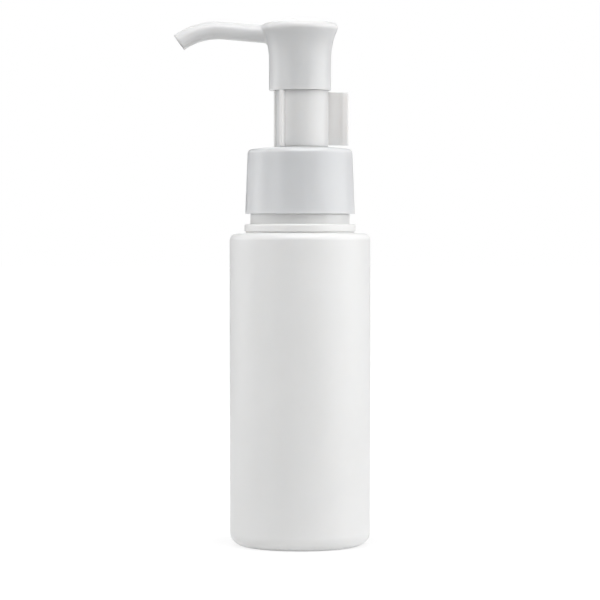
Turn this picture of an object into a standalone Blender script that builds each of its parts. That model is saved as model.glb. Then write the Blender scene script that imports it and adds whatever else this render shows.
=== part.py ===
"""Pump bottle: a small cylindrical bottle with a screw cap, a lotion pump and a lock clip.

Metres, +Z up. The origin is the centre of the base, on the axis that every turned piece shares.
The nozzle points along -X, and the tab of the lock clip along +X.
Heights are worked out upwards from the base: bottle, neck, gasket, housing, cap, collar, clip, head.
"""

import math

import bmesh
import bpy
from mathutils import Matrix, Vector

# Gaps between separate pieces
SEAT_GAP = 0.0003  # between faces that rest on one another
RUNNING_GAP = 0.0002  # all round a piece that slides or turns in another
SLEEVE_GAP = 0.0002  # all round the head's sleeve, in the collar and in the lock clip
CUT_OVERRUN = 0.0010  # how far a cutter reaches past what it cuts
SMALL_ROUND = 0.0003  # rounding of thin moulded edges

# Bottle, blow moulded
BODY_DIAMETER = 0.0400
BODY_WALL = 0.0010
BASE_WALL = 0.0012
BODY_HEIGHT = 0.0888  # base to the top of the shoulder's rounding
HEEL_RADIUS = 0.0039
SHOULDER_RADIUS = 0.0020
SHOULDER_RISE = 0.0002  # the nearly flat shoulder climbs this much towards the neck
UNDERCUT_HEIGHT = 0.0004  # bare neck between the shoulder and the bead
BEAD_DIAMETER = 0.0316
BEAD_HEIGHT = 0.0021
BEAD_ROUND = 0.0005
RING_DIAMETER = 0.0284
RING_HEIGHT = 0.0024
RING_ROUND = 0.0008
NECK_DIAMETER = 0.0251
NECK_WALL = 0.0019
FINISH_HEIGHT = 0.0150  # ring to the lip of the neck

# Screw thread, on the neck and in the cap
THREAD_PITCH = 0.00423
THREAD_HEIGHT = 0.0012
THREAD_ROOT_WIDTH = 0.0020
THREAD_CREST_WIDTH = 0.0010
THREAD_ROOT_DEPTH = 0.0004  # how far the ridge is sunk in the wall that carries it
THREAD_TOP_LAND = 0.0012  # plain neck above the middle of the last thread
NECK_THREAD_TURNS = 1.5
CAP_THREAD_TURNS = 1.25
THREAD_FADE_TURNS = 0.08  # run-out at each end of a thread

# Neck gasket
GASKET_DIAMETER = 0.0248
GASKET_THICKNESS = 0.0009

# Pump housing
FLANGE_DIAMETER = 0.0248
FLANGE_THICKNESS = 0.0016
HOUSING_WALL = 0.0010
CYLINDER_BORE = 0.0112
CYLINDER_WALL = 0.0011
COLLAR_RECESS_DEPTH = 0.0010
HOUSING_SHOULDER = 0.0012
CYLINDER_LENGTH = 0.0340  # its shoulder to the seat of the spring
PORT_DIAMETER = 0.0030
PORT_LENGTH = 0.0010
RETAINER_BORE = 0.0042  # opening of the lip that keeps the ball in
RETAINER_THICKNESS = 0.0009
RETAINER_SLOT = 0.0012
NIPPLE_WALL = 0.0014
NIPPLE_LENGTH = 0.0090
VENT_DIAMETER = 0.0012

# Ball of the inlet valve
BALL_DIAMETER = 0.0046
BALL_PLAY = 0.0006  # room all round the ball in its chamber
BALL_LIFT = 0.0015

# Dip tube
TUBE_DIAMETER = 0.0048
TUBE_BORE = 0.0032
TUBE_CLEARANCE = 0.0025  # tip of the tube to the floor of the bottle
TUBE_TIP_CUT = 0.0020  # height of the slanted cut at the tip

# Collar that closes the housing and guides the plunger
COLLAR_WALL = 0.0010
COLLAR_FLANGE_DIAMETER = 0.0184
COLLAR_FLANGE_THICKNESS = 0.0007
COLLAR_LENGTH = 0.0189
COLLAR_LIP_THICKNESS = 0.0012
COLLAR_STANDS_PROUD = 0.0001  # above the edge of the hole in the cap

# Screw cap
CAP_BOTTOM_DIAMETER = 0.0312
CAP_TOP_DIAMETER = 0.0297
CAP_RIM_ROUND = 0.0010
CAP_CROWN_FALL = 0.0009  # from the crown's middle to its rim
CAP_PLATE = 0.0013
CAP_FOOT_GAP = 0.0005  # over the ring of the bottle
CAP_THREAD_GAP = 0.0003  # crest of the neck's thread to the wall of the cap
CAP_LEAD_IN = 0.0004

# Plunger: stem, rod and piston
STEM_DIAMETER = 0.0070
STEM_BORE = 0.0046
STEM_SHOULDER_DIAMETER = 0.0086
STEM_SHOULDER_HEIGHT = 0.0011
STEM_PORT = 0.0012  # opening between the rod's head and the foot of the stem
PISTON_HEIGHT = 0.0036
PISTON_SLIP = 0.0012
PISTON_LIP = 0.0008
PISTON_WAIST = 0.0005  # how far the piston is drawn in between its two lips
ROD_HEAD_DIAMETER = 0.0094
ROD_HEAD_THICKNESS = 0.0014
ROD_SPIGOT_DIAMETER = 0.0058
ROD_SPIGOT_LENGTH = 0.0060
ROD_SHANK_LENGTH = 0.0125
ROD_RIB = 0.0010
STROKE = 0.0145

# Return spring
SPRING_WIRE = 0.0009
SPRING_MEAN_DIAMETER = 0.0078
SPRING_ACTIVE_TURNS = 7
SPRING_END_TURNS = 1  # closed turns at each end
SPRING_CLOSED_PITCH = 0.00125

# Lock clip
CLIP_HEIGHT = 0.0154
CLIP_WALL = 0.0010
CLIP_TURN = math.radians(7.8)  # the clip stands turned this much about the axis
CLIP_GRIP = 0.00105  # how far each lip closes in over the sleeve that it grips
CLIP_LIP_ANGLE = math.radians(49.0)  # middle of the mouth to the middle of a lip
CLIP_LIP_RADIUS = 0.00085
CLIP_LIP_SUNK = 0.00015  # how deep a lip's round stands in the arm that it ends
CLIP_EDGE = 0.00025
TAB_REACH = 0.0139  # axis to the tab's end
TAB_THICKNESS = 0.0013
TAB_ROOT_ROUND = 0.0003
TAB_RIM_WIDTH = 0.0021
TAB_RIM_THICKNESS = 0.0022
TAB_RIM_ROUND = 0.0006

# Pump head
SLEEVE_DIAMETER = 0.0136
SLEEVE_WALL = 0.0010
COLUMN_DIAMETER = 0.0114  # the column that holds the stem's socket, above the sleeve
SKIRT_DIAMETER = 0.0176
SKIRT_WALL = 0.00085
SKIRT_HEIGHT = 0.0178  # foot of the skirt to the widest part of the flare
FLARE_DIAMETER = 0.0214
FLARE_HEIGHT = 0.0092
HEAD_RIM_ROUND = 0.0014
HEAD_DOME_RISE = 0.0012
HEAD_ROOF = 0.0018
SOCKET_DEPTH = 0.0100
SOCKET_MOUTH_DEPTH = 0.0020  # foot of the skirt to the mouth of the stem's socket
NOZZLE_DIAMETER = 0.0051
NOZZLE_BORE = 0.0030
NOZZLE_APEX_REACH = 0.0232  # axis to the nozzle's highest point
NOZZLE_APEX_DROP = 0.0033  # top of the head to the middle of the nozzle at that point
NOZZLE_BEND_RADIUS = 0.0195
NOZZLE_RISE_ANGLE = math.radians(5.0)
NOZZLE_DROOP_ANGLE = math.radians(35.7)
NOZZLE_ROOT_REACH = 0.0042  # axis to where the nozzle grows out of the middle column

# Facets: turned pieces by size, arcs, and tubes
LARGE_SIDES = 48
MIDDLE_SIDES = 28
SMALL_SIDES = 20
ROUND_PITCH = 0.0005  # an edge's radius has one facet for each of these
ROUND_MOST_STEPS = 5
NOZZLE_SIDES = 16
BORE_SIDES = 10
NOZZLE_STEPS = 8
WIRE_SIDES = 6
WIRE_STEPS_PER_TURN = 10
THREAD_STEPS_PER_TURN = 24
HEAD_SIDES = 36
VENT_SIDES = 6
CROWN_STEPS = 3
FLARE_STEPS = 5
RIM_STEPS = 4
DOME_STEPS = 3
CLIP_ARC_STEPS = 12
CLIP_LIP_STEPS = 10
FILLET_RUN_SHARE = 0.49  # the most of an edge that one rounded corner may use
MITRE_SHARE = 0.5  # limits how far a sharp corner is drawn in
SHARP_ANGLE = math.radians(35.0)

# Colours (linear), roughness and metallic value of each material
FINISHES = {
    "bottle_hdpe": ((0.82, 0.82, 0.81), 0.38, 0.0),
    "cap_pp": ((0.80, 0.81, 0.84), 0.32, 0.0),
    "head_pp": ((0.82, 0.82, 0.81), 0.30, 0.0),
    "clip_pp": ((0.80, 0.81, 0.79), 0.34, 0.0),
    "housing_pp": ((0.74, 0.75, 0.74), 0.35, 0.0),
    "piston_pe": ((0.70, 0.72, 0.74), 0.45, 0.0),
    "dip_tube_pe": ((0.72, 0.74, 0.74), 0.30, 0.0),
    "gasket_foam": ((0.85, 0.85, 0.83), 0.85, 0.0),
    "spring_steel": ((0.56, 0.56, 0.55), 0.28, 1.0),
    "ball_steel": ((0.60, 0.60, 0.59), 0.15, 1.0),
}


# Radii that follow from the pieces they fit

body_r = BODY_DIAMETER / 2
neck_r = NECK_DIAMETER / 2
neck_bore_r = neck_r - NECK_WALL
cap_rim_r = CAP_TOP_DIAMETER / 2
cap_bore_r = neck_r + THREAD_HEIGHT + CAP_THREAD_GAP
sleeve_r = SLEEVE_DIAMETER / 2
collar_bore_r = sleeve_r + SLEEVE_GAP
collar_r = collar_bore_r + COLLAR_WALL
housing_bore_r = collar_r + RUNNING_GAP
housing_r = housing_bore_r + HOUSING_WALL
cap_hole_r = collar_r + RUNNING_GAP
cylinder_bore_r = CYLINDER_BORE / 2
cylinder_r = cylinder_bore_r + CYLINDER_WALL
stem_r = STEM_DIAMETER / 2
stem_bore_r = STEM_BORE / 2
piston_r = cylinder_bore_r - RUNNING_GAP
tube_r = TUBE_DIAMETER / 2
socket_r = tube_r + RUNNING_GAP
nipple_r = socket_r + NIPPLE_WALL
port_r = PORT_DIAMETER / 2
ball_r = BALL_DIAMETER / 2
chamber_r = ball_r + BALL_PLAY
clip_bore_r = sleeve_r + SLEEVE_GAP
clip_r = clip_bore_r + CLIP_WALL

# Heights along the axis, from the base up

shoulder_z = BODY_HEIGHT + SHOULDER_RISE
bead_z = shoulder_z + UNDERCUT_HEIGHT
ring_z = bead_z + BEAD_HEIGHT
finish_z = ring_z + RING_HEIGHT
neck_top_z = finish_z + FINISH_HEIGHT
gasket_z = neck_top_z + SEAT_GAP
flange_z = gasket_z + GASKET_THICKNESS + SEAT_GAP
flange_top_z = flange_z + FLANGE_THICKNESS
cap_ceiling_z = flange_top_z + SEAT_GAP
cap_crown_z = cap_ceiling_z + CAP_PLATE
cap_edge_z = cap_crown_z - CAP_CROWN_FALL * (cap_hole_r / cap_rim_r) ** 2
cap_foot_z = finish_z + CAP_FOOT_GAP
collar_top_z = cap_edge_z + COLLAR_STANDS_PROUD
collar_foot_z = collar_top_z - COLLAR_LENGTH
clip_z = collar_top_z + SEAT_GAP
clip_top_z = clip_z + CLIP_HEIGHT
skirt_z = clip_top_z + SEAT_GAP

stem_shoulder_top_z = collar_foot_z - SEAT_GAP
stem_shoulder_z = stem_shoulder_top_z - STEM_SHOULDER_HEIGHT
piston_top_z = stem_shoulder_z - PISTON_SLIP - SEAT_GAP
piston_z = piston_top_z - PISTON_HEIGHT
rod_head_top_z = piston_z - SEAT_GAP
rod_head_z = rod_head_top_z - ROD_HEAD_THICKNESS
stem_foot_z = rod_head_top_z + STEM_PORT
spring_top_z = rod_head_z - SEAT_GAP

socket_mouth_z = skirt_z + SOCKET_MOUTH_DEPTH
socket_top_z = socket_mouth_z + SOCKET_DEPTH
stem_top_z = socket_top_z - SEAT_GAP
flare_z = skirt_z + SKIRT_HEIGHT
head_top_z = flare_z + HEAD_RIM_ROUND + HEAD_DOME_RISE
sleeve_foot_z = collar_foot_z + COLLAR_LIP_THICKNESS + STROKE + 2 * SEAT_GAP

# Heights of the housing's lower end, from its shoulder down to the foot of the nipple

cylinder_top_z = collar_foot_z - SEAT_GAP - HOUSING_SHOULDER
spring_seat_z = cylinder_top_z - CYLINDER_LENGTH
retainer_z = spring_seat_z - RETAINER_THICKNESS
ball_z = retainer_z - SEAT_GAP - BALL_LIFT - ball_r
cone_z = ball_z - SEAT_GAP + port_r - ball_r * math.sqrt(2)
port_foot_z = cone_z - PORT_LENGTH
nipple_z = port_foot_z - NIPPLE_LENGTH


def make_material(name):
    colour, roughness, metallic = FINISHES[name]
    material = bpy.data.materials.new(name)
    material.use_nodes = True
    shader = material.node_tree.nodes["Principled BSDF"]
    shader.inputs["Base Color"].default_value = (*colour, 1.0)
    shader.inputs["Roughness"].default_value = roughness
    shader.inputs["Metallic"].default_value = metallic
    material.diffuse_color = (*colour, 1.0)
    return material


def make_axis(name, parent=None):
    """An empty on the common axis, which carries the pieces of one moving group."""
    axis = bpy.data.objects.new(name, None)
    bpy.context.collection.objects.link(axis)
    axis.parent = parent
    return axis


def make_object(name, bm, finish, parent=None, height=0.0):
    """Links a finished bmesh as an object whose origin is on the axis at the given height."""
    bmesh.ops.recalc_face_normals(bm, faces=bm.faces)
    mesh = bpy.data.meshes.new(name)
    bm.to_mesh(mesh)
    bm.free()
    mesh.shade_smooth()
    mesh.set_sharp_from_angle(angle=SHARP_ANGLE)
    obj = bpy.data.objects.new(name, mesh)
    bpy.context.collection.objects.link(obj)
    if finish:
        mesh.materials.append(make_material(finish))
    mesh.transform(Matrix.Translation((0.0, 0.0, -height)))
    obj.parent = parent
    obj.location = (0.0, 0.0, height)
    return obj


def make_tool(name, bm):
    """A shape that only joins or cuts another piece. It isn't a piece itself."""
    tool = make_object(name, bm, None)
    tool.hide_render = True
    tool.display_type = "WIRE"
    return tool


def apply_tool(obj, tool, operation):
    change = obj.modifiers.new(operation.lower() + "_" + tool.name, "BOOLEAN")
    change.operation = operation
    change.solver = "EXACT"
    change.object = tool


def rounded(corners):
    """A closed outline from (x, y) corners, where (x, y, radius) is a rounded corner."""
    points = []
    count = len(corners)
    for n, corner in enumerate(corners):
        here = Vector(corner[:2])
        if len(corner) == 2:
            points.append(here)
            continue
        back = Vector(corners[n - 1][:2]) - here
        ahead = Vector(corners[(n + 1) % count][:2]) - here
        half = back.angle(ahead) / 2
        run = min(corner[2] / math.tan(half), back.length * FILLET_RUN_SHARE,
                  ahead.length * FILLET_RUN_SHARE)
        radius = run * math.tan(half)
        middle = (back.normalized() + ahead.normalized()).normalized() * radius / math.sin(half)
        start = back.normalized() * run - middle
        turn = (ahead.normalized() * run - middle).angle_signed(start)
        steps = min(max(round(corner[2] / ROUND_PITCH), 1), ROUND_MOST_STEPS)
        for step in range(steps + 1):
            spoke = start.copy()
            spoke.rotate(Matrix.Rotation(turn * step / steps, 2))
            points.append(here + middle + spoke)
    return points


def turned(outline, sides):
    """A body of revolution about Z from a closed outline of (radius, height) points."""
    bm = bmesh.new()
    rings = []
    for radius, height in outline:
        if radius == 0:
            rings.append([bm.verts.new((0.0, 0.0, height))] * sides)
            continue
        ring = []
        for side in range(sides):
            angle = 2 * math.pi * side / sides
            ring.append(bm.verts.new((radius * math.cos(angle), radius * math.sin(angle), height)))
        rings.append(ring)
    for n, ring in enumerate(rings):
        lower = rings[n - 1]
        if ring[0] is ring[1] and lower[0] is lower[1]:
            continue
        for side in range(sides):
            after = (side + 1) % sides
            corners = [lower[side], lower[after], ring[after], ring[side]]
            bm.faces.new(list(dict.fromkeys(corners)))
    return bm


def skinned(rings):
    """Skins a row of rings of equal count and caps both ends."""
    bm = bmesh.new()
    loops = [[bm.verts.new(point) for point in ring] for ring in rings]
    count = len(loops[0])
    for lower, upper in zip(loops, loops[1:]):
        for n in range(count):
            after = (n + 1) % count
            bm.faces.new((lower[n], lower[after], upper[after], upper[n]))
    bm.faces.new(loops[0])
    bm.faces.new(loops[-1])
    return bm


def tube(path, radii, sides, reference):
    """A round tube along a path. reference is any direction that the path never takes."""
    rings = []
    for n, point in enumerate(path):
        before = path[max(n - 1, 0)]
        after = path[min(n + 1, len(path) - 1)]
        ahead = (after - before).normalized()
        across = ahead.cross(reference).normalized()
        up = across.cross(ahead)
        ring = []
        for side in range(sides):
            angle = 2 * math.pi * side / sides
            ring.append(point + (across * math.cos(angle) + up * math.sin(angle)) * radii[n])
        rings.append(ring)
    return skinned(rings)


def extruded(outline, levels):
    """A prism through levels of (height, inset), each inset drawing the outline in."""
    count = len(outline)
    rings = []
    for height, inset in levels:
        ring = []
        for n, point in enumerate(outline):
            back = (point - outline[n - 1]).normalized()
            ahead = (outline[(n + 1) % count] - point).normalized()
            inward = Vector((-back.y - ahead.y, back.x + ahead.x))
            reach = inset * 2 / max(inward.length_squared, MITRE_SHARE)
            ring.append(Vector((*(point + inward * reach), height)))
        rings.append(ring)
    return skinned(rings)


def thread_ridge(wall_r, direction, middle_z, start_turn, turns):
    """A right-hand ridge on a wall, pointing out (1) or in (-1), which fades at both ends.

    middle_z is the height of the ridge's middle where its turn is zero.
    """
    steps = round(turns * THREAD_STEPS_PER_TURN)
    rings = []
    for step in range(steps + 1):
        turn = turns * step / steps
        fade = min(turn, turns - turn, THREAD_FADE_TURNS) / THREAD_FADE_TURNS
        root_r = wall_r - direction * THREAD_ROOT_DEPTH
        sunk = THREAD_ROOT_DEPTH / 2
        crest_r = wall_r + direction * (fade * (THREAD_HEIGHT + sunk) - sunk)
        height = middle_z + THREAD_PITCH * (start_turn + turn)
        angle = 2 * math.pi * (start_turn + turn)
        ring = []
        for radius, lift in (
            (root_r, -THREAD_ROOT_WIDTH / 2),
            (crest_r, -THREAD_CREST_WIDTH / 2),
            (crest_r, THREAD_CREST_WIDTH / 2),
            (root_r, THREAD_ROOT_WIDTH / 2),
        ):
            ring.append((radius * math.cos(angle), radius * math.sin(angle), height + lift))
        rings.append(ring)
    return skinned(rings)


def box(low, high):
    bm = bmesh.new()
    bmesh.ops.create_cube(bm, size=1.0)
    size = Vector(high) - Vector(low)
    middle = (Vector(high) + Vector(low)) / 2
    bmesh.ops.scale(bm, vec=size, verts=bm.verts)
    bmesh.ops.translate(bm, vec=middle, verts=bm.verts)
    return bm


# Height of the thread's middle at turn zero, the lower end of the neck's thread
thread_z = neck_top_z - THREAD_TOP_LAND - THREAD_PITCH * NECK_THREAD_TURNS


def make_bottle():
    """The blow-moulded bottle, one skin from base to neck, with its thread."""
    inner_r = body_r - BODY_WALL
    outline = rounded([
        (0.0, 0.0),
        (body_r, 0.0, HEEL_RADIUS),
        (body_r, BODY_HEIGHT, SHOULDER_RADIUS),
        (neck_r, shoulder_z),
        (neck_r, bead_z),
        (BEAD_DIAMETER / 2, bead_z, BEAD_ROUND),
        (BEAD_DIAMETER / 2, ring_z, BEAD_ROUND),
        (RING_DIAMETER / 2, ring_z),
        (RING_DIAMETER / 2, finish_z, RING_ROUND),
        (neck_r, finish_z),
        (neck_r, neck_top_z, SMALL_ROUND),
        (neck_bore_r, neck_top_z, SMALL_ROUND),
        (neck_bore_r, shoulder_z - BODY_WALL, SHOULDER_RADIUS - BODY_WALL),
        (inner_r, BODY_HEIGHT - BODY_WALL, SHOULDER_RADIUS - BODY_WALL),
        (inner_r, BASE_WALL, HEEL_RADIUS - BODY_WALL),
        (0.0, BASE_WALL),
    ])
    bottle = make_object("bottle", turned(outline, LARGE_SIDES), "bottle_hdpe")
    ridge = thread_ridge(neck_r, 1, thread_z, 0.0, NECK_THREAD_TURNS)
    apply_tool(bottle, make_tool("neck_thread", ridge), "UNION")
    return bottle


def make_neck_gasket(parent):
    """The flat ring that seals the housing's flange on the lip of the neck."""
    outer_r = GASKET_DIAMETER / 2
    inner_r = housing_r + RUNNING_GAP
    top_z = gasket_z + GASKET_THICKNESS
    outline = [(inner_r, gasket_z), (outer_r, gasket_z), (outer_r, top_z), (inner_r, top_z)]
    return make_object("neck_gasket", turned(outline, MIDDLE_SIDES), "gasket_foam", parent, gasket_z)


def make_pump_housing(parent):
    """The cylinder that hangs in the neck by its flange, with the inlet valve at its foot."""
    recess_r = COLLAR_FLANGE_DIAMETER / 2 + RUNNING_GAP
    recess_z = flange_top_z - COLLAR_RECESS_DEPTH
    outer_shoulder_z = cylinder_top_z - (cylinder_r - cylinder_bore_r)
    chamber_floor_z = cone_z + chamber_r - port_r
    outline = rounded([
        (FLANGE_DIAMETER / 2, flange_z),
        (FLANGE_DIAMETER / 2, flange_top_z),
        (recess_r, flange_top_z),
        (recess_r, recess_z),
        (housing_bore_r, recess_z),
        (housing_bore_r, cylinder_top_z + HOUSING_SHOULDER),
        (cylinder_bore_r, cylinder_top_z),
        (cylinder_bore_r, spring_seat_z),
        (RETAINER_BORE / 2, spring_seat_z),
        (RETAINER_BORE / 2, retainer_z),
        (chamber_r, retainer_z),
        (chamber_r, chamber_floor_z),
        (port_r, cone_z),
        (port_r, port_foot_z),
        (socket_r, port_foot_z),
        (socket_r, nipple_z),
        (nipple_r, nipple_z, SMALL_ROUND),
        (nipple_r, retainer_z - cylinder_r + nipple_r),
        (cylinder_r, retainer_z, CYLINDER_WALL),
        (cylinder_r, outer_shoulder_z),
        (housing_r, outer_shoulder_z + HOUSING_SHOULDER, HOUSING_WALL),
        (housing_r, flange_z),
    ])
    bm = turned(outline, SMALL_SIDES)
    housing = make_object("pump_housing", bm, "housing_pp", parent, flange_z)
    reach = chamber_r + RUNNING_GAP
    half = RETAINER_SLOT / 2
    low_z = retainer_z - CUT_OVERRUN / 2
    high_z = spring_seat_z + CUT_OVERRUN / 2
    slots = {
        "retainer_slot_x": ((-reach, -half, low_z), (reach, half, high_z)),
        "retainer_slot_y": ((-half, -reach, low_z), (half, reach, high_z)),
    }
    for name, (low, high) in slots.items():
        apply_tool(housing, make_tool(name, box(low, high)), "DIFFERENCE")
    vent_z = collar_foot_z + COLLAR_LIP_THICKNESS + VENT_DIAMETER
    start = Vector((0.0, housing_bore_r - CUT_OVERRUN, vent_z))
    end = Vector((0.0, housing_r + CUT_OVERRUN, vent_z))
    vent = tube([start, end], [VENT_DIAMETER / 2] * 2, VENT_SIDES, Vector((0, 0, 1)))
    apply_tool(housing, make_tool("vent_hole", vent), "DIFFERENCE")
    return housing


def make_dip_tube(parent):
    """The tube from the housing's nipple to just over the floor, with a slanted tip."""
    top_z = port_foot_z - SEAT_GAP
    foot_z = BASE_WALL + TUBE_CLEARANCE
    bore_r = TUBE_BORE / 2
    outline = [(bore_r, foot_z), (tube_r, foot_z), (tube_r, top_z), (bore_r, top_z)]
    bm = turned(outline, SMALL_SIDES)
    for vert in bm.verts:
        if vert.co.z < (foot_z + top_z) / 2:
            vert.co.z += TUBE_TIP_CUT * (vert.co.x + tube_r) / TUBE_DIAMETER
    return make_object("dip_tube", bm, "dip_tube_pe", parent, foot_z)


def make_inlet_ball(parent):
    bm = bmesh.new()
    bmesh.ops.create_icosphere(bm, subdivisions=2, radius=ball_r)
    bmesh.ops.translate(bm, vec=(0.0, 0.0, ball_z), verts=bm.verts)
    return make_object("inlet_ball", bm, "ball_steel", parent, ball_z)


def make_collar(parent):
    """The collar in the mouth of the housing: it guides the sleeve and stops the stem."""
    flange_r = COLLAR_FLANGE_DIAMETER / 2
    flange_low_z = flange_top_z - COLLAR_FLANGE_THICKNESS
    lip_r = stem_r + SEAT_GAP
    lip_top_z = collar_foot_z + COLLAR_LIP_THICKNESS
    outline = rounded([
        (lip_r, collar_foot_z),
        (collar_r, collar_foot_z, SMALL_ROUND),
        (collar_r, flange_low_z),
        (flange_r, flange_low_z),
        (flange_r, flange_top_z),
        (collar_r, flange_top_z),
        (collar_r, collar_top_z, SMALL_ROUND),
        (collar_bore_r, collar_top_z),
        (collar_bore_r, lip_top_z),
        (lip_r, lip_top_z),
    ])
    bm = turned(outline, MIDDLE_SIDES)
    return make_object("housing_collar", bm, "housing_pp", parent, collar_foot_z)


def make_screw_cap(parent):
    """The smooth tapered cap, open in the middle for the collar, threaded inside."""
    rim_z = cap_crown_z - CAP_CROWN_FALL
    foot_r = CAP_BOTTOM_DIAMETER / 2
    crown = []
    for step in range(CROWN_STEPS, 0, -1):
        radius = cap_hole_r + (cap_rim_r - CAP_RIM_ROUND - cap_hole_r) * step / CROWN_STEPS
        crown.append((radius, cap_crown_z - CAP_CROWN_FALL * (radius / cap_rim_r) ** 2))
    outline = rounded([
        (cap_bore_r + CAP_LEAD_IN, cap_foot_z),
        (foot_r, cap_foot_z, SMALL_ROUND),
        (cap_rim_r, rim_z, CAP_RIM_ROUND),
        *crown,
        (cap_hole_r, cap_edge_z),
        (cap_hole_r, cap_ceiling_z),
        (cap_bore_r, cap_ceiling_z, CAP_RIM_ROUND),
        (cap_bore_r, cap_foot_z + CAP_LEAD_IN),
    ])
    cap = make_object("screw_cap", turned(outline, LARGE_SIDES), "cap_pp", parent, cap_foot_z)
    ridge = thread_ridge(cap_bore_r, -1, thread_z - THREAD_PITCH / 2, 0.0, CAP_THREAD_TURNS)
    apply_tool(cap, make_tool("cap_thread", ridge), "UNION")
    return cap


def make_rod(parent):
    """The rod below the stem: valve head, spigot for the spring and ribbed shank."""
    head_r = ROD_HEAD_DIAMETER / 2
    spigot_r = ROD_SPIGOT_DIAMETER / 2
    foot_z = rod_head_z - ROD_SPIGOT_LENGTH
    outline = rounded([
        (0.0, foot_z),
        (spigot_r, foot_z, SMALL_ROUND),
        (spigot_r, rod_head_z),
        (head_r, rod_head_z, SMALL_ROUND),
        (head_r, rod_head_top_z, SMALL_ROUND),
        (0.0, rod_head_top_z),
    ])
    rod = make_object("piston_rod", turned(outline, SMALL_SIDES), "piston_pe", parent, foot_z)
    reach = stem_bore_r - RUNNING_GAP
    half = ROD_RIB / 2
    corners = [(reach, -half), (reach, half), (half, half), (half, reach), (-half, reach),
               (-half, half), (-reach, half), (-reach, -half), (-half, -half), (-half, -reach),
               (half, -reach), (half, -half)]
    low_z = rod_head_top_z - ROD_HEAD_THICKNESS / 2
    high_z = rod_head_top_z + ROD_SHANK_LENGTH
    cross = extruded([Vector(corner) for corner in corners], [(low_z, 0.0), (high_z, 0.0)])
    apply_tool(rod, make_tool("rod_shank", cross), "UNION")
    return rod


def make_stem(parent):
    """The hollow stem that carries the head and drives the piston down by its shoulder."""
    shoulder_r = STEM_SHOULDER_DIAMETER / 2
    outline = rounded([
        (stem_bore_r, stem_foot_z),
        (stem_r, stem_foot_z),
        (stem_r, stem_shoulder_z),
        (shoulder_r, stem_shoulder_z),
        (shoulder_r, stem_shoulder_top_z, SMALL_ROUND),
        (stem_r, stem_shoulder_top_z),
        (stem_r, stem_top_z, SMALL_ROUND),
        (stem_bore_r, stem_top_z),
    ])
    return make_object("stem", turned(outline, SMALL_SIDES), "housing_pp", parent, stem_foot_z)


def make_piston(parent):
    """The ring that seals in the cylinder with two lips and slips a little on the stem."""
    inner_r = stem_r + RUNNING_GAP
    outline = rounded([
        (inner_r, piston_z),
        (piston_r, piston_z),
        (piston_r, piston_z + PISTON_LIP),
        (piston_r - PISTON_WAIST, piston_z + PISTON_LIP + PISTON_WAIST),
        (piston_r - PISTON_WAIST, piston_top_z - PISTON_LIP - PISTON_WAIST),
        (piston_r, piston_top_z - PISTON_LIP),
        (piston_r, piston_top_z),
        (inner_r, piston_top_z),
    ])
    return make_object("piston", turned(outline, SMALL_SIDES), "piston_pe", parent, piston_z)


def make_return_spring(parent):
    """A compression spring with closed ends, between the housing's seat and the rod."""
    wire_r = SPRING_WIRE / 2
    low_z = spring_seat_z + SEAT_GAP + wire_r
    high_z = spring_top_z - wire_r
    closed_rise = SPRING_END_TURNS * SPRING_CLOSED_PITCH
    open_rise = high_z - low_z - 2 * closed_rise
    turns = SPRING_ACTIVE_TURNS + 2 * SPRING_END_TURNS
    path = []
    for step in range(turns * WIRE_STEPS_PER_TURN + 1):
        turn = step / WIRE_STEPS_PER_TURN
        below = min(turn, SPRING_END_TURNS)
        above = max(turn - SPRING_END_TURNS - SPRING_ACTIVE_TURNS, 0)
        height = low_z + (below + above) * SPRING_CLOSED_PITCH
        height += open_rise * (turn - below - above) / SPRING_ACTIVE_TURNS
        angle = 2 * math.pi * turn
        radius = SPRING_MEAN_DIAMETER / 2
        path.append(Vector((radius * math.cos(angle), radius * math.sin(angle), height)))
    bm = tube(path, [wire_r] * len(path), WIRE_SIDES, Vector((0, 0, 1)))
    return make_object("return_spring", bm, "spring_steel", parent, spring_seat_z)


def around(middle, radius, start, end, steps):
    """Points along an arc about middle, from one angle to another."""
    points = []
    for step in range(steps + 1):
        angle = start + (end - start) * step / steps
        points.append(middle + Vector((math.cos(angle), math.sin(angle))) * radius)
    return points


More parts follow.
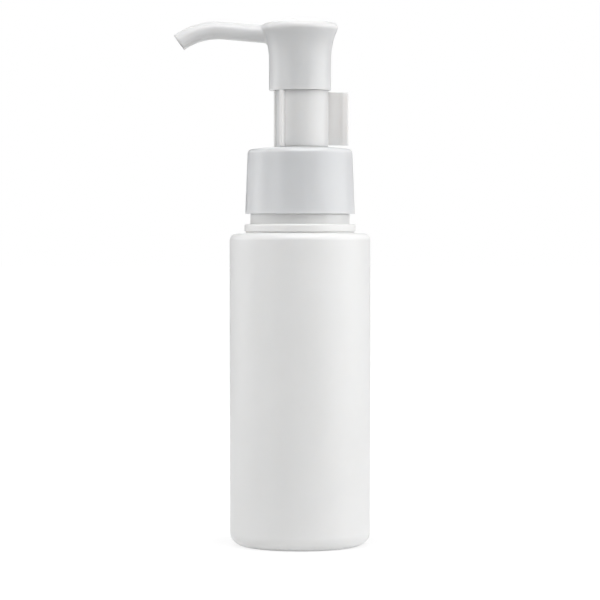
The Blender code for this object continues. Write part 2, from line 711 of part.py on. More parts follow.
def clip_outline():
    """The clip seen from above, counter-clockwise: a C with rounded lips, and its tab.

    Its half on the +Y side is drawn with the mouth facing -X, then mirrored, and all of it is turned.
    """
    centre = Vector((0.0, 0.0))
    lip_reach = clip_r + CLIP_LIP_RADIUS - CLIP_LIP_SUNK
    lip_turn = math.pi - CLIP_LIP_ANGLE
    lip = Vector((math.cos(lip_turn), math.sin(lip_turn))) * lip_reach
    apart = (clip_r**2 + lip_reach**2 - CLIP_LIP_RADIUS**2) / (2 * clip_r * lip_reach)
    crease_turn = lip_turn - math.acos(apart)
    crease = Vector((math.cos(crease_turn), math.sin(crease_turn))) * clip_r
    mouth_y = sleeve_r - CLIP_GRIP
    throat = Vector((-math.sqrt(clip_bore_r**2 - mouth_y**2), mouth_y))
    inward = throat - lip
    lip_start = math.atan2(crease.y - lip.y, crease.x - lip.x)
    lip_end = math.atan2(inward.y, inward.x) - math.acos(CLIP_LIP_RADIUS / inward.length)
    half = TAB_THICKNESS / 2
    rim_half = TAB_RIM_THICKNESS / 2
    rim_x = TAB_REACH - TAB_RIM_WIDTH
    root = math.asin((half + TAB_ROOT_ROUND) / clip_r)
    tab = rounded([
        (clip_r, 0.0),
        (TAB_REACH, 0.0),
        (TAB_REACH, rim_half, TAB_RIM_ROUND),
        (rim_x + TAB_RIM_ROUND, rim_half, TAB_RIM_ROUND),
        (rim_x, half, TAB_ROOT_ROUND),
        (clip_r * math.cos(root) + TAB_ROOT_ROUND, half, TAB_ROOT_ROUND),
        (clip_r * math.cos(root), clip_r * math.sin(root)),
    ])
    upper = tab[2:-1]
    upper += around(centre, clip_r, root, crease_turn, CLIP_ARC_STEPS)
    upper += around(lip, CLIP_LIP_RADIUS, lip_start, lip_end + 2 * math.pi, CLIP_LIP_STEPS)[1:]
    upper += around(centre, clip_bore_r, math.atan2(throat.y, throat.x), 0.0, CLIP_ARC_STEPS)
    lower = [Vector((point.x, -point.y)) for point in reversed(upper[:-1])]
    outline = upper + lower
    for point in outline:
        point.rotate(Matrix.Rotation(CLIP_TURN, 2))
    return outline


def make_lock_clip(parent):
    """The pull-off clip that stands between cap and head and keeps the head up."""
    outline = clip_outline()
    levels = [
        (clip_z, CLIP_EDGE),
        (clip_z + CLIP_EDGE, 0.0),
        (clip_top_z - CLIP_EDGE, 0.0),
        (clip_top_z, CLIP_EDGE),
    ]
    return make_object("lock_clip", extruded(outline, levels), "clip_pp", parent, clip_z)


def flare_radius(height, wall=0.0):
    """Radius of the head's skirt at a height: straight, then a circular flare."""
    widening = (FLARE_DIAMETER - SKIRT_DIAMETER) / 2
    bend_r = (FLARE_HEIGHT**2 + widening**2) / (2 * widening)
    above = max(height - (flare_z - FLARE_HEIGHT), 0)
    return SKIRT_DIAMETER / 2 - wall + bend_r - math.sqrt(bend_r**2 - above**2)


def nozzle_path(start_x, overrun):
    """The nozzle's middle line: a straight rise, then one bend down to the tip."""
    apex = Vector((-NOZZLE_APEX_REACH, 0, head_top_z - NOZZLE_APEX_DROP))
    middle = apex - Vector((0, 0, NOZZLE_BEND_RADIUS))
    path = []
    for step in range(NOZZLE_STEPS + 1):
        share = step / NOZZLE_STEPS
        angle = NOZZLE_RISE_ANGLE - (NOZZLE_RISE_ANGLE + NOZZLE_DROOP_ANGLE) * share
        spoke = Vector((math.sin(angle), 0, math.cos(angle)))
        path.append(middle + spoke * NOZZLE_BEND_RADIUS)
    slope = math.tan(NOZZLE_RISE_ANGLE)
    path.insert(0, Vector((start_x, 0, path[0].z - slope * (start_x - path[0].x))))
    if overrun:
        path.append(path[-1] + (path[-1] - path[-2]).normalized() * overrun)
    return path


def make_pump_head(parent):
    """The head in one moulding: flared skirt, roof, stem socket, sleeve and nozzle."""
    skirt_r = SKIRT_DIAMETER / 2
    roof_z = head_top_z - HEAD_ROOF
    flare_foot_z = flare_z - FLARE_HEIGHT
    dome_r = FLARE_DIAMETER / 2 - HEAD_RIM_ROUND
    outer = [(skirt_r, skirt_z, SMALL_ROUND)]
    for step in range(FLARE_STEPS + 1):
        height = flare_foot_z + FLARE_HEIGHT * step / FLARE_STEPS
        outer.append((flare_radius(height), height))
    rim = []
    for step in range(1, RIM_STEPS + 1):
        angle = math.pi / 2 * step / RIM_STEPS
        rim.append((dome_r + HEAD_RIM_ROUND * math.cos(angle),
                    flare_z + HEAD_RIM_ROUND * math.sin(angle)))
    dome = []
    for step in range(1, DOME_STEPS + 1):
        radius = dome_r * (1 - step / DOME_STEPS)
        dome.append((radius, head_top_z - HEAD_DOME_RISE * (radius / dome_r) ** 2))
    hollow_top_z = roof_z - HEAD_DOME_RISE
    outline = rounded([
        *outer,
        *rim,
        *dome,
        (0.0, roof_z),
        (stem_bore_r, roof_z),
        (stem_bore_r, socket_top_z),
        (stem_r + RUNNING_GAP, socket_top_z),
        (stem_r + RUNNING_GAP, socket_mouth_z),
        (sleeve_r - SLEEVE_WALL, socket_mouth_z),
        (sleeve_r - SLEEVE_WALL, sleeve_foot_z),
        (sleeve_r, sleeve_foot_z, SMALL_ROUND),
        (sleeve_r, socket_mouth_z + SLEEVE_WALL),
        (COLUMN_DIAMETER / 2, socket_mouth_z + SLEEVE_WALL),
        (COLUMN_DIAMETER / 2, hollow_top_z),
        (flare_radius(hollow_top_z, SKIRT_WALL), hollow_top_z),
        (flare_radius(flare_foot_z + FLARE_HEIGHT / 2, SKIRT_WALL), flare_foot_z + FLARE_HEIGHT / 2),
        (skirt_r - SKIRT_WALL, flare_foot_z),
        (skirt_r - SKIRT_WALL, skirt_z),
    ])
    head = make_object("pump_head", turned(outline, HEAD_SIDES), "head_pp", parent, skirt_z)
    along_y = Vector((0, 1, 0))
    outside = nozzle_path(-NOZZLE_ROOT_REACH, 0.0)
    edge = (outside[-1] - outside[-2]).normalized() * SMALL_ROUND
    outside.insert(-1, outside[-1] - edge)
    radii = [NOZZLE_DIAMETER / 2] * (len(outside) - 1) + [NOZZLE_DIAMETER / 2 - SMALL_ROUND]
    nozzle = make_tool("nozzle_outside", tube(outside, radii, NOZZLE_SIDES, along_y))
    apply_tool(head, nozzle, "UNION")
    inside = nozzle_path(0.0, CUT_OVERRUN)
    radii = [NOZZLE_BORE / 2] * len(inside)
    bore = make_tool("nozzle_bore", tube(inside, radii, BORE_SIDES, along_y))
    apply_tool(head, bore, "DIFFERENCE")
    return head


def main():
    for old in list(bpy.data.objects):
        bpy.data.objects.remove(old, do_unlink=True)
    make_bottle()
    pump_axis = make_axis("pump_axis")
    make_neck_gasket(pump_axis)
    make_pump_housing(pump_axis)
    make_collar(pump_axis)
    make_dip_tube(pump_axis)
    make_return_spring(pump_axis)
    ball_axis = make_axis("ball_axis", pump_axis)
    make_inlet_ball(ball_axis)
    cap_axis = make_axis("cap_axis", pump_axis)
    make_screw_cap(cap_axis)
    plunger_axis = make_axis("plunger_axis", pump_axis)
    make_rod(plunger_axis)
    piston_axis = make_axis("piston_axis", plunger_axis)
    make_piston(piston_axis)
    head_axis = make_axis("head_axis", plunger_axis)
    make_stem(head_axis)
    make_pump_head(head_axis)
    clip_axis = make_axis("clip_axis", pump_axis)
    make_lock_clip(clip_axis)


main()
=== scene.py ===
# %% [markdown]
# # A white lotion pump bottle
#
# This script dresses a pump bottle whose pieces, sizes and joints are already fixed by its CAD
# model. It loads that model, makes a finer mesh for every piece that shows and for the spring, gives
# each piece a procedural material for the real plastic, foam or steel, and lights the result as a
# small product shot. All places are in metres, +Z is up, and the bottle's axis is the Z axis.

# %% Load the fixed frame
import math

import bmesh
import bpy
from mathutils import Matrix, Vector


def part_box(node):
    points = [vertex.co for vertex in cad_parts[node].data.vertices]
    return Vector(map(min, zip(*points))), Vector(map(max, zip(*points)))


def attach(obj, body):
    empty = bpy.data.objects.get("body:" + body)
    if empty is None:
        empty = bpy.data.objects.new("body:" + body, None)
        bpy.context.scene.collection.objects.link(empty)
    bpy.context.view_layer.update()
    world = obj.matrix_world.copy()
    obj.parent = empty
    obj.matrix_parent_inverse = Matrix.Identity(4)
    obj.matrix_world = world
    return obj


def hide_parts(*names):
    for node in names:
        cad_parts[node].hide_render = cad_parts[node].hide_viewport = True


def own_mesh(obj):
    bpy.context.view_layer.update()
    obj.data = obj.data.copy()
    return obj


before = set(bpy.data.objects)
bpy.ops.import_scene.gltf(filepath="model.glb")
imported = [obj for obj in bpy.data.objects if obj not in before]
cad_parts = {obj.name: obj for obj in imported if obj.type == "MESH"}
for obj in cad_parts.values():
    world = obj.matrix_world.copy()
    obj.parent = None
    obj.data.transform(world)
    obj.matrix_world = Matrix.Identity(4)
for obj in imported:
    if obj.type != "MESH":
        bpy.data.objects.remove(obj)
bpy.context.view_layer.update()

# %% [markdown]
# ## Units, and sizes that are read from the frame
#
# The CAD model gives each node's box. Radii and heights that can be read from a box are read there,
# so that a piece stays where its node is. What a box can't tell, such as a wall or a rounding, is a
# named length next to the piece that has it.

# %% Reading sizes from the frame
MM = 0.001


def low_high(node):
    """Lowest and highest height of a node."""
    low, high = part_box(node)
    return low.z, high.z


def reach(node):
    """Radius of a round node, from its box's width along Y."""
    low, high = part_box(node)
    return (high.y - low.y) / 2


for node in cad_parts:
    print(node, "z", [round(1000 * z, 3) for z in low_high(node)], "r", round(1000 * reach(node), 3))


# %% [markdown]
# ## Profiles
#
# Most of these pieces were made on a turned mould or drawn through a round die, so they are bodies
# of revolution. A lathe wants one outline of (radius, height) points. Corners on a moulding are
# never sharp: the steel of the mould has a radius there, and the small highlight along that radius
# is what makes plastic look moulded. A corner can be rounded by a Bevel modifier afterwards, but
# that works by edge angle over the whole mesh. Here each corner carries its own radius and becomes
# an arc in the outline, which gives even strips of faces and exact roundings.

# %% Rounded outlines
ARC_STEP = math.radians(9.0)
NEARLY_HALF = 0.499  # of an edge, so that two neighbouring arcs never meet
NEARLY_STRAIGHT = math.radians(2.0)  # a corner this flat gets no arc


def spread(start, end, steps):
    """Even steps from start to end, both included."""
    return [start + (end - start) * step / steps for step in range(steps + 1)]


def arc(middle, radius, start, end, step=ARC_STEP):
    """Points along an arc about middle, ends included."""
    steps = max(round(abs(end - start) / step), 2)
    return [Vector(middle) + Vector((math.cos(angle), math.sin(angle))) * radius
            for angle in spread(start, end, steps)]


def rounded(corners):
    """Outline from (x, y) or (x, y, radius) corners, with an arc at each corner that has a radius."""
    points = []
    count = len(corners)
    for n, corner in enumerate(corners):
        here = Vector(corner[:2])
        if len(corner) == 2:
            points.append(here)
            continue
        back = Vector(corners[n - 1][:2]) - here
        ahead = Vector(corners[(n + 1) % count][:2]) - here
        half = back.angle(ahead) / 2
        if math.pi - 2 * half < NEARLY_STRAIGHT:
            points.append(here)
            continue
        run = min(corner[2] / math.tan(half), back.length * NEARLY_HALF, ahead.length * NEARLY_HALF)
        radius = run * math.tan(half)
        middle = here + (back.normalized() + ahead.normalized()).normalized() * radius / math.sin(half)
        start = here + back.normalized() * run - middle
        end = here + ahead.normalized() * run - middle
        first = math.atan2(start.y, start.x)
        turn = (math.atan2(end.y, end.x) - first + math.pi) % (2 * math.pi) - math.pi
        points += arc(middle, radius, first, first + turn)
    return points


print("a square millimetre with a 0.2 mm corner has",
      len(rounded([(0, 0), (MM, 0), (MM, MM, 0.2 * MM), (0, MM)])), "points")

# %% [markdown]
# ## The lathe
#
# Blender has a Screw modifier and a spin operator for turning a profile. Both leave a seam of
# doubled points that has to be welded, with a merge distance that suits the size. Building the
# rings directly needs no weld: every ring is a list of points, neighbouring rings are joined by
# quads, and a point on the axis stays one point, joined by triangles.

# %% Turned and skinned pieces
SIDES = 160
ON_AXIS = 0.0001 * MM  # a point closer to the axis than this is on it


def circle(sides):
    """Cosine and sine at even steps round a circle."""
    angles = [2 * math.pi * side / sides for side in range(sides)]
    return [(math.cos(angle), math.sin(angle)) for angle in angles]


def turned(outline, sides=SIDES):
    """A closed body of revolution from a closed outline of (radius, height) points."""
    bm = bmesh.new()
    rings = []
    for radius, height in outline:
        if radius < ON_AXIS:
            rings.append([bm.verts.new((0.0, 0.0, height))] * sides)
        else:
            rings.append([bm.verts.new((radius * x, radius * y, height)) for x, y in circle(sides)])
    for n, ring in enumerate(rings):
        lower = rings[n - 1]
        if ring[0] is ring[1] and lower[0] is lower[1]:
            continue
        for side in range(sides):
            after = (side + 1) % sides
            corners = [lower[side], lower[after], ring[after], ring[side]]
            bm.faces.new(list(dict.fromkeys(corners)))
    bmesh.ops.recalc_face_normals(bm, faces=bm.faces)
    return bm


def skinned(rings):
    """Skins a row of rings of equal count and caps both ends."""
    bm = bmesh.new()
    loops = [[bm.verts.new(point) for point in ring] for ring in rings]
    count = len(loops[0])
    for lower, upper in zip(loops, loops[1:]):
        for n in range(count):
            after = (n + 1) % count
            bm.faces.new((lower[n], lower[after], upper[after], upper[n]))
    bm.faces.new(loops[0])
    bm.faces.new(loops[-1])
    bmesh.ops.recalc_face_normals(bm, faces=bm.faces)
    return bm


print("the cap's turned faces are", round(2000 * math.pi * reach("screw_cap") / SIDES, 2), "mm wide")

# %% [markdown]
# ## From bmesh to a piece that rides on a body
#
# Each finished mesh becomes an object, gets smooth shading with sharp edges kept where two faces
# meet steeply, and a Weighted Normal modifier. That modifier turns the shading of big flat faces
# level, so the light rolls over the small roundings only. Last, the piece is hung on the moving body
# that carries it, and the CAD node that it stands for is hidden.

# %% Making an object
SHARP = math.radians(34.0)


def add_object(name, bm):
    """Links a bmesh as an object."""
    mesh = bpy.data.meshes.new(name)
    bm.to_mesh(mesh)
    bm.free()
    thing = bpy.data.objects.new(name, mesh)
    bpy.context.collection.objects.link(thing)
    return thing


def make_piece(name, bm, material, body, node):
    """Links a mesh as a visible piece that rides on a body and stands for a CAD node."""
    piece = add_object(name, bm)
    mesh = piece.data
    mesh.shade_smooth()
    mesh.set_sharp_from_angle(angle=SHARP)
    mesh.materials.append(material)
    level = piece.modifiers.new("level_shading", "WEIGHTED_NORMAL")
    level.keep_sharp = True
    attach(piece, body)
    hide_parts(node)
    print(name, "has", len(mesh.polygons), "faces and rides on", body)
    return piece


# %% [markdown]
# ## Colours and shader nodes
#
# Colours are written as sRGB hex values, the numbers that a colour picker on a photograph gives.
# Cycles works in linear light, so one function converts them. A second small function adds a node
# with its settings and links in one call, and a third starts a material with the place on the piece,
# which the textures need. A material then reads as a short list of what feeds what.

# %% Colour and node helpers
def linear(hex_colour):
    """Linear RGBA from an sRGB hex string."""
    channels = []
    for start in (0, 2, 4):
        value = int(hex_colour[start:start + 2], 16) / 255
        channels.append(value / 12.92 if value <= 0.04045 else ((value + 0.055) / 1.055) ** 2.4)
    return (*channels, 1.0)


def add_node(tree, kind, inputs=None, **settings):
    """Adds a node. inputs maps a socket's name or number to a value, or to the socket that feeds it."""
    node = tree.nodes.new(kind)
    for name, value in settings.items():
        setattr(node, name, value)
    for name, value in (inputs or {}).items():
        if isinstance(value, bpy.types.NodeSocket):
            tree.links.new(value, node.inputs[name])
        else:
            node.inputs[name].default_value = value
    return node


def new_material(name):
    """A material, its tree, its Principled shader, and the socket with the place on the piece."""
    material = bpy.data.materials.new(name)
    material.use_nodes = True
    tree = material.node_tree
    place = add_node(tree, "ShaderNodeTexCoord").outputs["Object"]
    return material, tree, tree.nodes["Principled BSDF"], place


print("a mid grey of 80 hex is", round(linear("808080")[0], 3), "in linear light")

# %% [markdown]
# ## White thermoplastics
#
# Every white piece here is a polyolefin, and the outer ones are coloured through with a white
# pigment. To the eye such a plastic is a diffuse body colour under a thin clear reflection. Light
# also travels a millimetre or more sideways inside it, which softens shadows and carries light round
# thin edges. It could be a flat diffuse colour with a gloss, but a real moulding is never so even:
# its colour is not quite evenly mixed, the tool's polish changes slowly across the surface, and the
# surface has a fine texture from the tool. One function makes this family, with each plastic's own
# numbers.

# %% The family of white plastics
POLISH_SPREAD = 0.03  # how much the roughness varies to both sides
MILK_RGB = (1.0, 0.95, 0.9)  # red light travels further inside than blue
MIX_A, MIX_B, MIX_RESULT = 6, 7, 2  # the Mix node's two colours and its mixed colour


def white_plastic(name, light, dark, ior, roughness, drift, milk, depth, texture, relief):
    """A white polyolefin. Lengths are in mm.

    light, dark: the two ends of the colour's unevenness, sRGB hex
    drift: width of the slow changes in colour and polish
    milk, depth: share of the light that enters, and how far it travels inside
    texture, relief: width and height of the surface's fine texture
    """
    material, tree, shader, place = new_material(name)
    slow = add_node(tree, "ShaderNodeTexNoise",
                    {"Vector": place, "Scale": 1 / (drift * MM), "Detail": 3.0, "Roughness": 0.55})
    pigment = add_node(tree, "ShaderNodeMix",
                       {"Factor": slow.outputs["Fac"], MIX_A: linear(dark), MIX_B: linear(light)},
                       data_type="RGBA")
    polish = add_node(tree, "ShaderNodeMapRange",
                      {"Value": slow.outputs["Fac"], "From Min": 0.3, "From Max": 0.7,
                       "To Min": roughness - POLISH_SPREAD, "To Max": roughness + POLISH_SPREAD})
    fine = add_node(tree, "ShaderNodeTexNoise",
                    {"Vector": place, "Scale": 1 / (texture * MM), "Detail": 2.0, "Roughness": 0.5})
    bump = add_node(tree, "ShaderNodeBump",
                    {"Height": fine.outputs["Fac"], "Distance": relief * MM, "Strength": 1.0})
    tree.links.new(pigment.outputs[MIX_RESULT], shader.inputs["Base Color"])
    tree.links.new(polish.outputs["Result"], shader.inputs["Roughness"])
    tree.links.new(bump.outputs["Normal"], shader.inputs["Normal"])
    shader.inputs["IOR"].default_value = ior
    shader.inputs["Subsurface Weight"].default_value = milk
    shader.inputs["Subsurface Radius"].default_value = MILK_RGB
    shader.inputs["Subsurface Scale"].default_value = depth * MM
    print(name, "has a fine texture of", texture, "mm")
    return material


# %% [markdown]
# ### Blow-moulded HDPE: the bottle
#
# A bottle like this is high-density polyethylene, blown against a vapour-blasted aluminium mould.
# The blasting leaves a satin surface with a gentle orange peel, about a millimetre from hill to
# hill and some microns high. That gives wide, soft highlights with no hard reflection in them.

# %% [markdown]
# ### Injection-moulded polypropylene: cap, head and lock clip
#
# These came out of polished steel tools, so they are smoother than the bottle, and a softbox shows
# in them as a brighter band. Here light travels 3 mm inside them, twice as far as in the bottle, so
# that their thin edges stay pale in the shadow. The three are separate mouldings, and their whites
# differ a little: the cap is faintly blue, the head neutral, and the clip faintly warm.

# %% [markdown]
# ### Natural polyolefins: what works inside
#
# Housing, collar and stem are polypropylene without pigment, piston and rod polyethylene, and the
# dip tube is extruded polyethylene. Unpigmented polyolefins are milky: they are a little greyer
# than the bottle, and light travels 1.5 to 2 mm inside them.

# %% Make the plastics
PLASTICS = {  # light, dark, IOR, roughness, drift, milk, depth, texture, relief
    "satin_hdpe_blow_moulded": ("E9E9E9", "E2E2E1", 1.54, 0.42, 22, 0.45, 1.5, 1.1, 0.003),
    "blue_white_pp_injection_moulded": ("D8D9DA", "D2D3D5", 1.49, 0.33, 14, 0.8, 3.0, 0.8, 0.001),
    "neutral_white_pp_injection_moulded": ("DDDDDD", "D7D7D7", 1.49, 0.30, 14, 0.8, 3.0, 0.8, 0.001),
    "warm_white_pp_injection_moulded": ("E3E2E1", "DDDCDB", 1.49, 0.32, 10, 0.8, 3.0, 0.8, 0.001),
    "natural_pp_injection_moulded": ("DADCDB", "D0D2D1", 1.49, 0.34, 9, 0.4, 2.0, 0.8, 0.0012),
    "natural_pe_injection_moulded": ("D2D5D8", "C8CCD0", 1.52, 0.45, 7, 0.4, 2.0, 0.6, 0.002),
    "natural_pe_extruded_tube": ("D8DBDB", "CDD1D1", 1.52, 0.30, 12, 0.4, 1.5, 1.5, 0.0015),
}
bottle_hdpe, cap_pp, head_pp, clip_pp, natural_pp, natural_pe, tube_pe = [
    white_plastic(name, *row) for name, row in PLASTICS.items()]

# %% [markdown]
# ### Expanded polyethylene: the neck gasket
#
# The gasket is die-cut from foam sheet with closed cells of about a quarter of a millimetre. Its
# faces are a skin with cells showing through, its cut edge is all open cells, and it has no gloss.
# A Voronoi texture has cell walls of the right kind, so it drives both bump and a darker cell floor,
# which is painted shade in the sunken middle of each cell.

# %% Foam
FOAM_CELL = 0.25 * MM
CELL_DEPTH = 0.05 * MM


def cell_foam():
    material, tree, shader, place = new_material("closed_cell_pe_foam")
    cells = add_node(tree, "ShaderNodeTexVoronoi", {"Vector": place, "Scale": 1 / FOAM_CELL},
                     feature="DISTANCE_TO_EDGE")
    wall = add_node(tree, "ShaderNodeMapRange",
                    {"Value": cells.outputs["Distance"], "From Min": 0.0, "From Max": 0.3})
    # painted shade: the colour darkens towards the middle of each cell, where the bump sinks it
    tint = add_node(tree, "ShaderNodeMix",
                    {"Factor": wall.outputs["Result"], MIX_A: linear("F0F0EC"), MIX_B: linear("D9D9D3")},
                    data_type="RGBA")
    bump = add_node(tree, "ShaderNodeBump",
                    {"Height": wall.outputs["Result"], "Distance": CELL_DEPTH}, invert=True)
    tree.links.new(tint.outputs[MIX_RESULT], shader.inputs["Base Color"])
    tree.links.new(bump.outputs["Normal"], shader.inputs["Normal"])
    shader.inputs["Roughness"].default_value = 0.9
    shader.inputs["Subsurface Weight"].default_value = 0.3
    shader.inputs["Subsurface Scale"].default_value = 1.0 * MM
    return material


foam = cell_foam()
print(foam.name, "has", round(MM / FOAM_CELL), "cells a millimetre")

# %% [markdown]
# ### Stainless steel: drawn wire and ground ball
#
# Spring wire is pulled through a die, which leaves fine lines along the wire, so its highlight
# stretches round the coil. The ball is ground and lapped, nearly a mirror, with very small pits.
# Both are hidden inside the bottle, so one even noise in colour and polish stands for such marks.
# Steel has no body colour: Metallic is 1, and the base colour is what the metal reflects.

# %% Steel
def steel(name, light, dark, roughness, grain, uneven):
    """Stainless steel. grain is the width of the tool's marks, uneven how much the polish varies."""
    material, tree, shader, place = new_material(name)
    marks = add_node(tree, "ShaderNodeTexNoise",
                     {"Vector": place, "Scale": 1 / grain, "Detail": 4.0, "Roughness": 0.6})
    tint = add_node(tree, "ShaderNodeMix",
                    {"Factor": marks.outputs["Fac"], MIX_A: linear(dark), MIX_B: linear(light)},
                    data_type="RGBA")
    polish = add_node(tree, "ShaderNodeMapRange",
                      {"Value": marks.outputs["Fac"], "To Min": roughness - uneven,
                       "To Max": roughness + uneven})
    tree.links.new(tint.outputs[MIX_RESULT], shader.inputs["Base Color"])
    tree.links.new(polish.outputs["Result"], shader.inputs["Roughness"])
    shader.inputs["Metallic"].default_value = 1.0
    print(name, "has marks", round(grain / MM, 2), "mm wide")
    return material


spring_steel = steel("stainless_wire_drawn", "C9C8C4", "B8B7B3", roughness=0.28, grain=0.3 * MM,
                     uneven=0.10)
ball_steel = steel("stainless_ball_ground", "D0CFCC", "C4C3C0", roughness=0.12, grain=0.2 * MM,
                   uneven=0.04)

# %% [markdown]
# ## The bottle
#
# A parison of hot HDPE is closed in a two-part mould and blown out. That gives an even wall of
# about a millimetre, a heel and a shoulder with generous radii, and a hair-thin parting line up both
# sides where the mould halves met. The neck is formed by the mould itself: first a bead, then a ring
# that reaches up to the cap, and a plain neck with one and a half turns of thread. Inside, the skin
# follows the outside.
#
# The lathe makes the skin. The parting line is pushed out of the outer wall afterwards, and the
# thread is a swept ridge that a Boolean union melts into the neck, as it is one piece of plastic.

# %% Sizes of the bottle
body_r = reach("bottle")
neck_top = low_high("bottle")[1]
NECK_FINISH = 15.0 * MM  # from the top of the ring in the CAD model to the neck's
RING_HEIGHT = 2.4 * MM  # in the CAD model; here the ring reaches up to the cap
BEAD_HEIGHT = 2.1 * MM
GROOVE_HEIGHT = 0.4 * MM
SHOULDER_FALL = 0.2 * MM
SEAT = 0.02 * MM  # between pieces that rest on one another, too thin to see
ring_z = neck_top - NECK_FINISH - RING_HEIGHT
ring_top = low_high("screw_cap")[0] - SEAT
bead_z = ring_z - BEAD_HEIGHT
shoulder_z = bead_z - GROOVE_HEIGHT
body_top = shoulder_z - SHOULDER_FALL
neck_r = 25.1 * MM / 2
neck_bore = neck_r - 1.9 * MM
RING_R = 14.1 * MM
BEAD_R = 15.8 * MM
GROOVE_R = 15.4 * MM  # shallow, so that the groove stays bright
WALL = 1.0 * MM
BASE = 1.2 * MM
HEEL = 3.9 * MM
SHOULDER = 2.0 * MM
BEAD_ROUND = 0.5 * MM
LIP_ROUND = 0.3 * MM
EDGE_ROUND = 0.15 * MM
PITCH = 4.23 * MM  # six threads to the inch
TURNS = 1.5
thread_z = neck_top - 1.2 * MM - PITCH * TURNS
print("shoulder at", round(1000 * shoulder_z, 2), "mm, neck top at", round(1000 * neck_top, 2), "mm")

# %% The thread as a swept ridge
THREAD_STEPS = 72  # rings of points in a turn
THREAD_DEPTH = 1.2 * MM
RUN_OUT = 0.08  # of a turn, over which the thread rises out of the wall
SUNK = 0.2 * MM  # how far its ends lie below the wall
BROW = 0.05 * MM  # the crest's edge, its brow, lies SUNK - BROW below the crest
ROOT_DEPTH, FOOT_DEPTH = 0.4 * MM, 0.05 * MM
HALF_WIDTHS = (1.0 * MM, 0.95 * MM, 0.58 * MM, 0.42 * MM)  # at the root, foot, brow and crest


def thread_ridge(wall_r, direction, start_z, turns):
    """A right-hand thread on a wall, pointing out (1) or in (-1), with rounded crest and run-outs."""
    steps = round(turns * THREAD_STEPS)
    rings = []
    for step in range(steps + 1):
        turn = turns * step / steps
        fade = min(turn, turns - turn, RUN_OUT) / RUN_OUT
        fade = fade * fade * (3 - 2 * fade)
        radii = (wall_r - direction * ROOT_DEPTH,
                 wall_r - direction * FOOT_DEPTH,
                 wall_r + direction * (fade * (THREAD_DEPTH + BROW) - SUNK),
                 wall_r + direction * (fade * (THREAD_DEPTH + SUNK) - SUNK))
        lower = [(radius, -half) for radius, half in zip(radii, HALF_WIDTHS)]
        upper = [(radius, -lift) for radius, lift in reversed(lower)]
        angle = 2 * math.pi * turn
        rings.append([(radius * math.cos(angle), radius * math.sin(angle), start_z + PITCH * turn + lift)
                      for radius, lift in lower + upper])
    return skinned(rings)


print("the neck's thread runs from", round(1000 * thread_z, 2), "to",
      round(1000 * (thread_z + PITCH * TURNS), 2), "mm")

# %% [markdown]
# A Boolean modifier needs a second object as its tool. The tool is only wanted while the modifier
# is worked out, so the result is read from the evaluated object, and the tool is deleted again.

# %% Joining and cutting
def combined(bm, *tools):
    """The mesh bm with tools joined ("UNION") or cut ("DIFFERENCE") by the exact solver, in turn."""
    blank = add_object("blank", bm)
    helpers = [blank]
    for operation, tool_bm in tools:
        helpers.append(add_object("tool", tool_bm))
        change = blank.modifiers.new("step", "BOOLEAN")
        change.operation = operation
        change.solver = "EXACT"
        change.object = helpers[-1]
    bpy.context.view_layer.update()
    evaluated = blank.evaluated_get(bpy.context.evaluated_depsgraph_get())
    result = bmesh.new()
    result.from_mesh(evaluated.to_mesh())
    evaluated.to_mesh_clear()
    for helper in helpers:
        bpy.data.meshes.remove(helper.data)
    bmesh.ops.recalc_face_normals(result, faces=result.faces)
    return result


# %% Make the bottle
PARTING_PROUD = 0.03 * MM
CLEAR = 0.3 * MM  # a point further out than this from the inner wall is on the outside
BOTTLE_SIDES = 192


def bottle_outline():
    outer_r = body_r - PARTING_PROUD
    inner_r = body_r - WALL
    return rounded([
        (0.0, 0.0),
        (outer_r, 0.0, HEEL),
        (outer_r, body_top, SHOULDER),
        (GROOVE_R, shoulder_z, EDGE_ROUND),
        (GROOVE_R, bead_z, EDGE_ROUND),
        (BEAD_R, bead_z, BEAD_ROUND),
        (BEAD_R, ring_z, BEAD_ROUND),
        (RING_R, ring_z, EDGE_ROUND),
        (RING_R, ring_top, EDGE_ROUND),
        (neck_r, ring_top, LIP_ROUND),
        (neck_r, neck_top, LIP_ROUND),
        (neck_bore, neck_top, LIP_ROUND),
        (neck_bore, shoulder_z - WALL, WALL),
        (inner_r, body_top - WALL, SHOULDER - WALL),
        (inner_r, BASE, HEEL - WALL),
        (0.0, BASE),
    ])


def on_parting_line(point):
    """Whether a point of the skin is on the body's outside, where the mould halves met."""
    radius = point.xy.length
    outside = radius > body_r - WALL + CLEAR or point.z > body_top - WALL + CLEAR
    return abs(point.y) < ON_AXIS and radius > neck_r and outside and BASE <= point.z <= shoulder_z


def make_bottle():
    bm = turned(bottle_outline(), BOTTLE_SIDES)
    for vert in bm.verts:
        if on_parting_line(vert.co):
            radius = vert.co.xy.length
            vert.co.xy *= (radius + PARTING_PROUD) / radius
    return combined(bm, ("UNION", thread_ridge(neck_r, 1, thread_z, TURNS)))


make_piece("bottle_skin", make_bottle(), bottle_hdpe, "bottle_body", "bottle")

# %% [markdown]
# ## The screw cap
#
# The cap is injection moulded: a smooth tapered side, a crown that falls a little towards its rim,
# and a round opening in the middle that the pump's collar fills. Inside it has its own thread, which
# was unscrewed from the tool. The taper is the draft that lets a moulding leave its mould.

# %% Make the screw cap
cap_foot, cap_edge = low_high("screw_cap")
cap_foot_r = reach("screw_cap")
CAP_TOP_R = 14.85 * MM
CAP_FALL = 0.9 * MM
CROWN_RIM = 3.0 * MM  # outer strip of the crown, which its rounding may take up
CROWN_ROUND = 1.3 * MM
LEAD_IN = 0.4 * MM  # the cone at the mouth that finds the neck
CAP_TURNS = 1.25
cap_hole_r = 8.2 * MM
cap_bore_r = neck_r + 1.5 * MM
cap_crown = cap_edge + CAP_FALL * (cap_hole_r / CAP_TOP_R) ** 2
cap_ceiling = cap_crown - 1.3 * MM


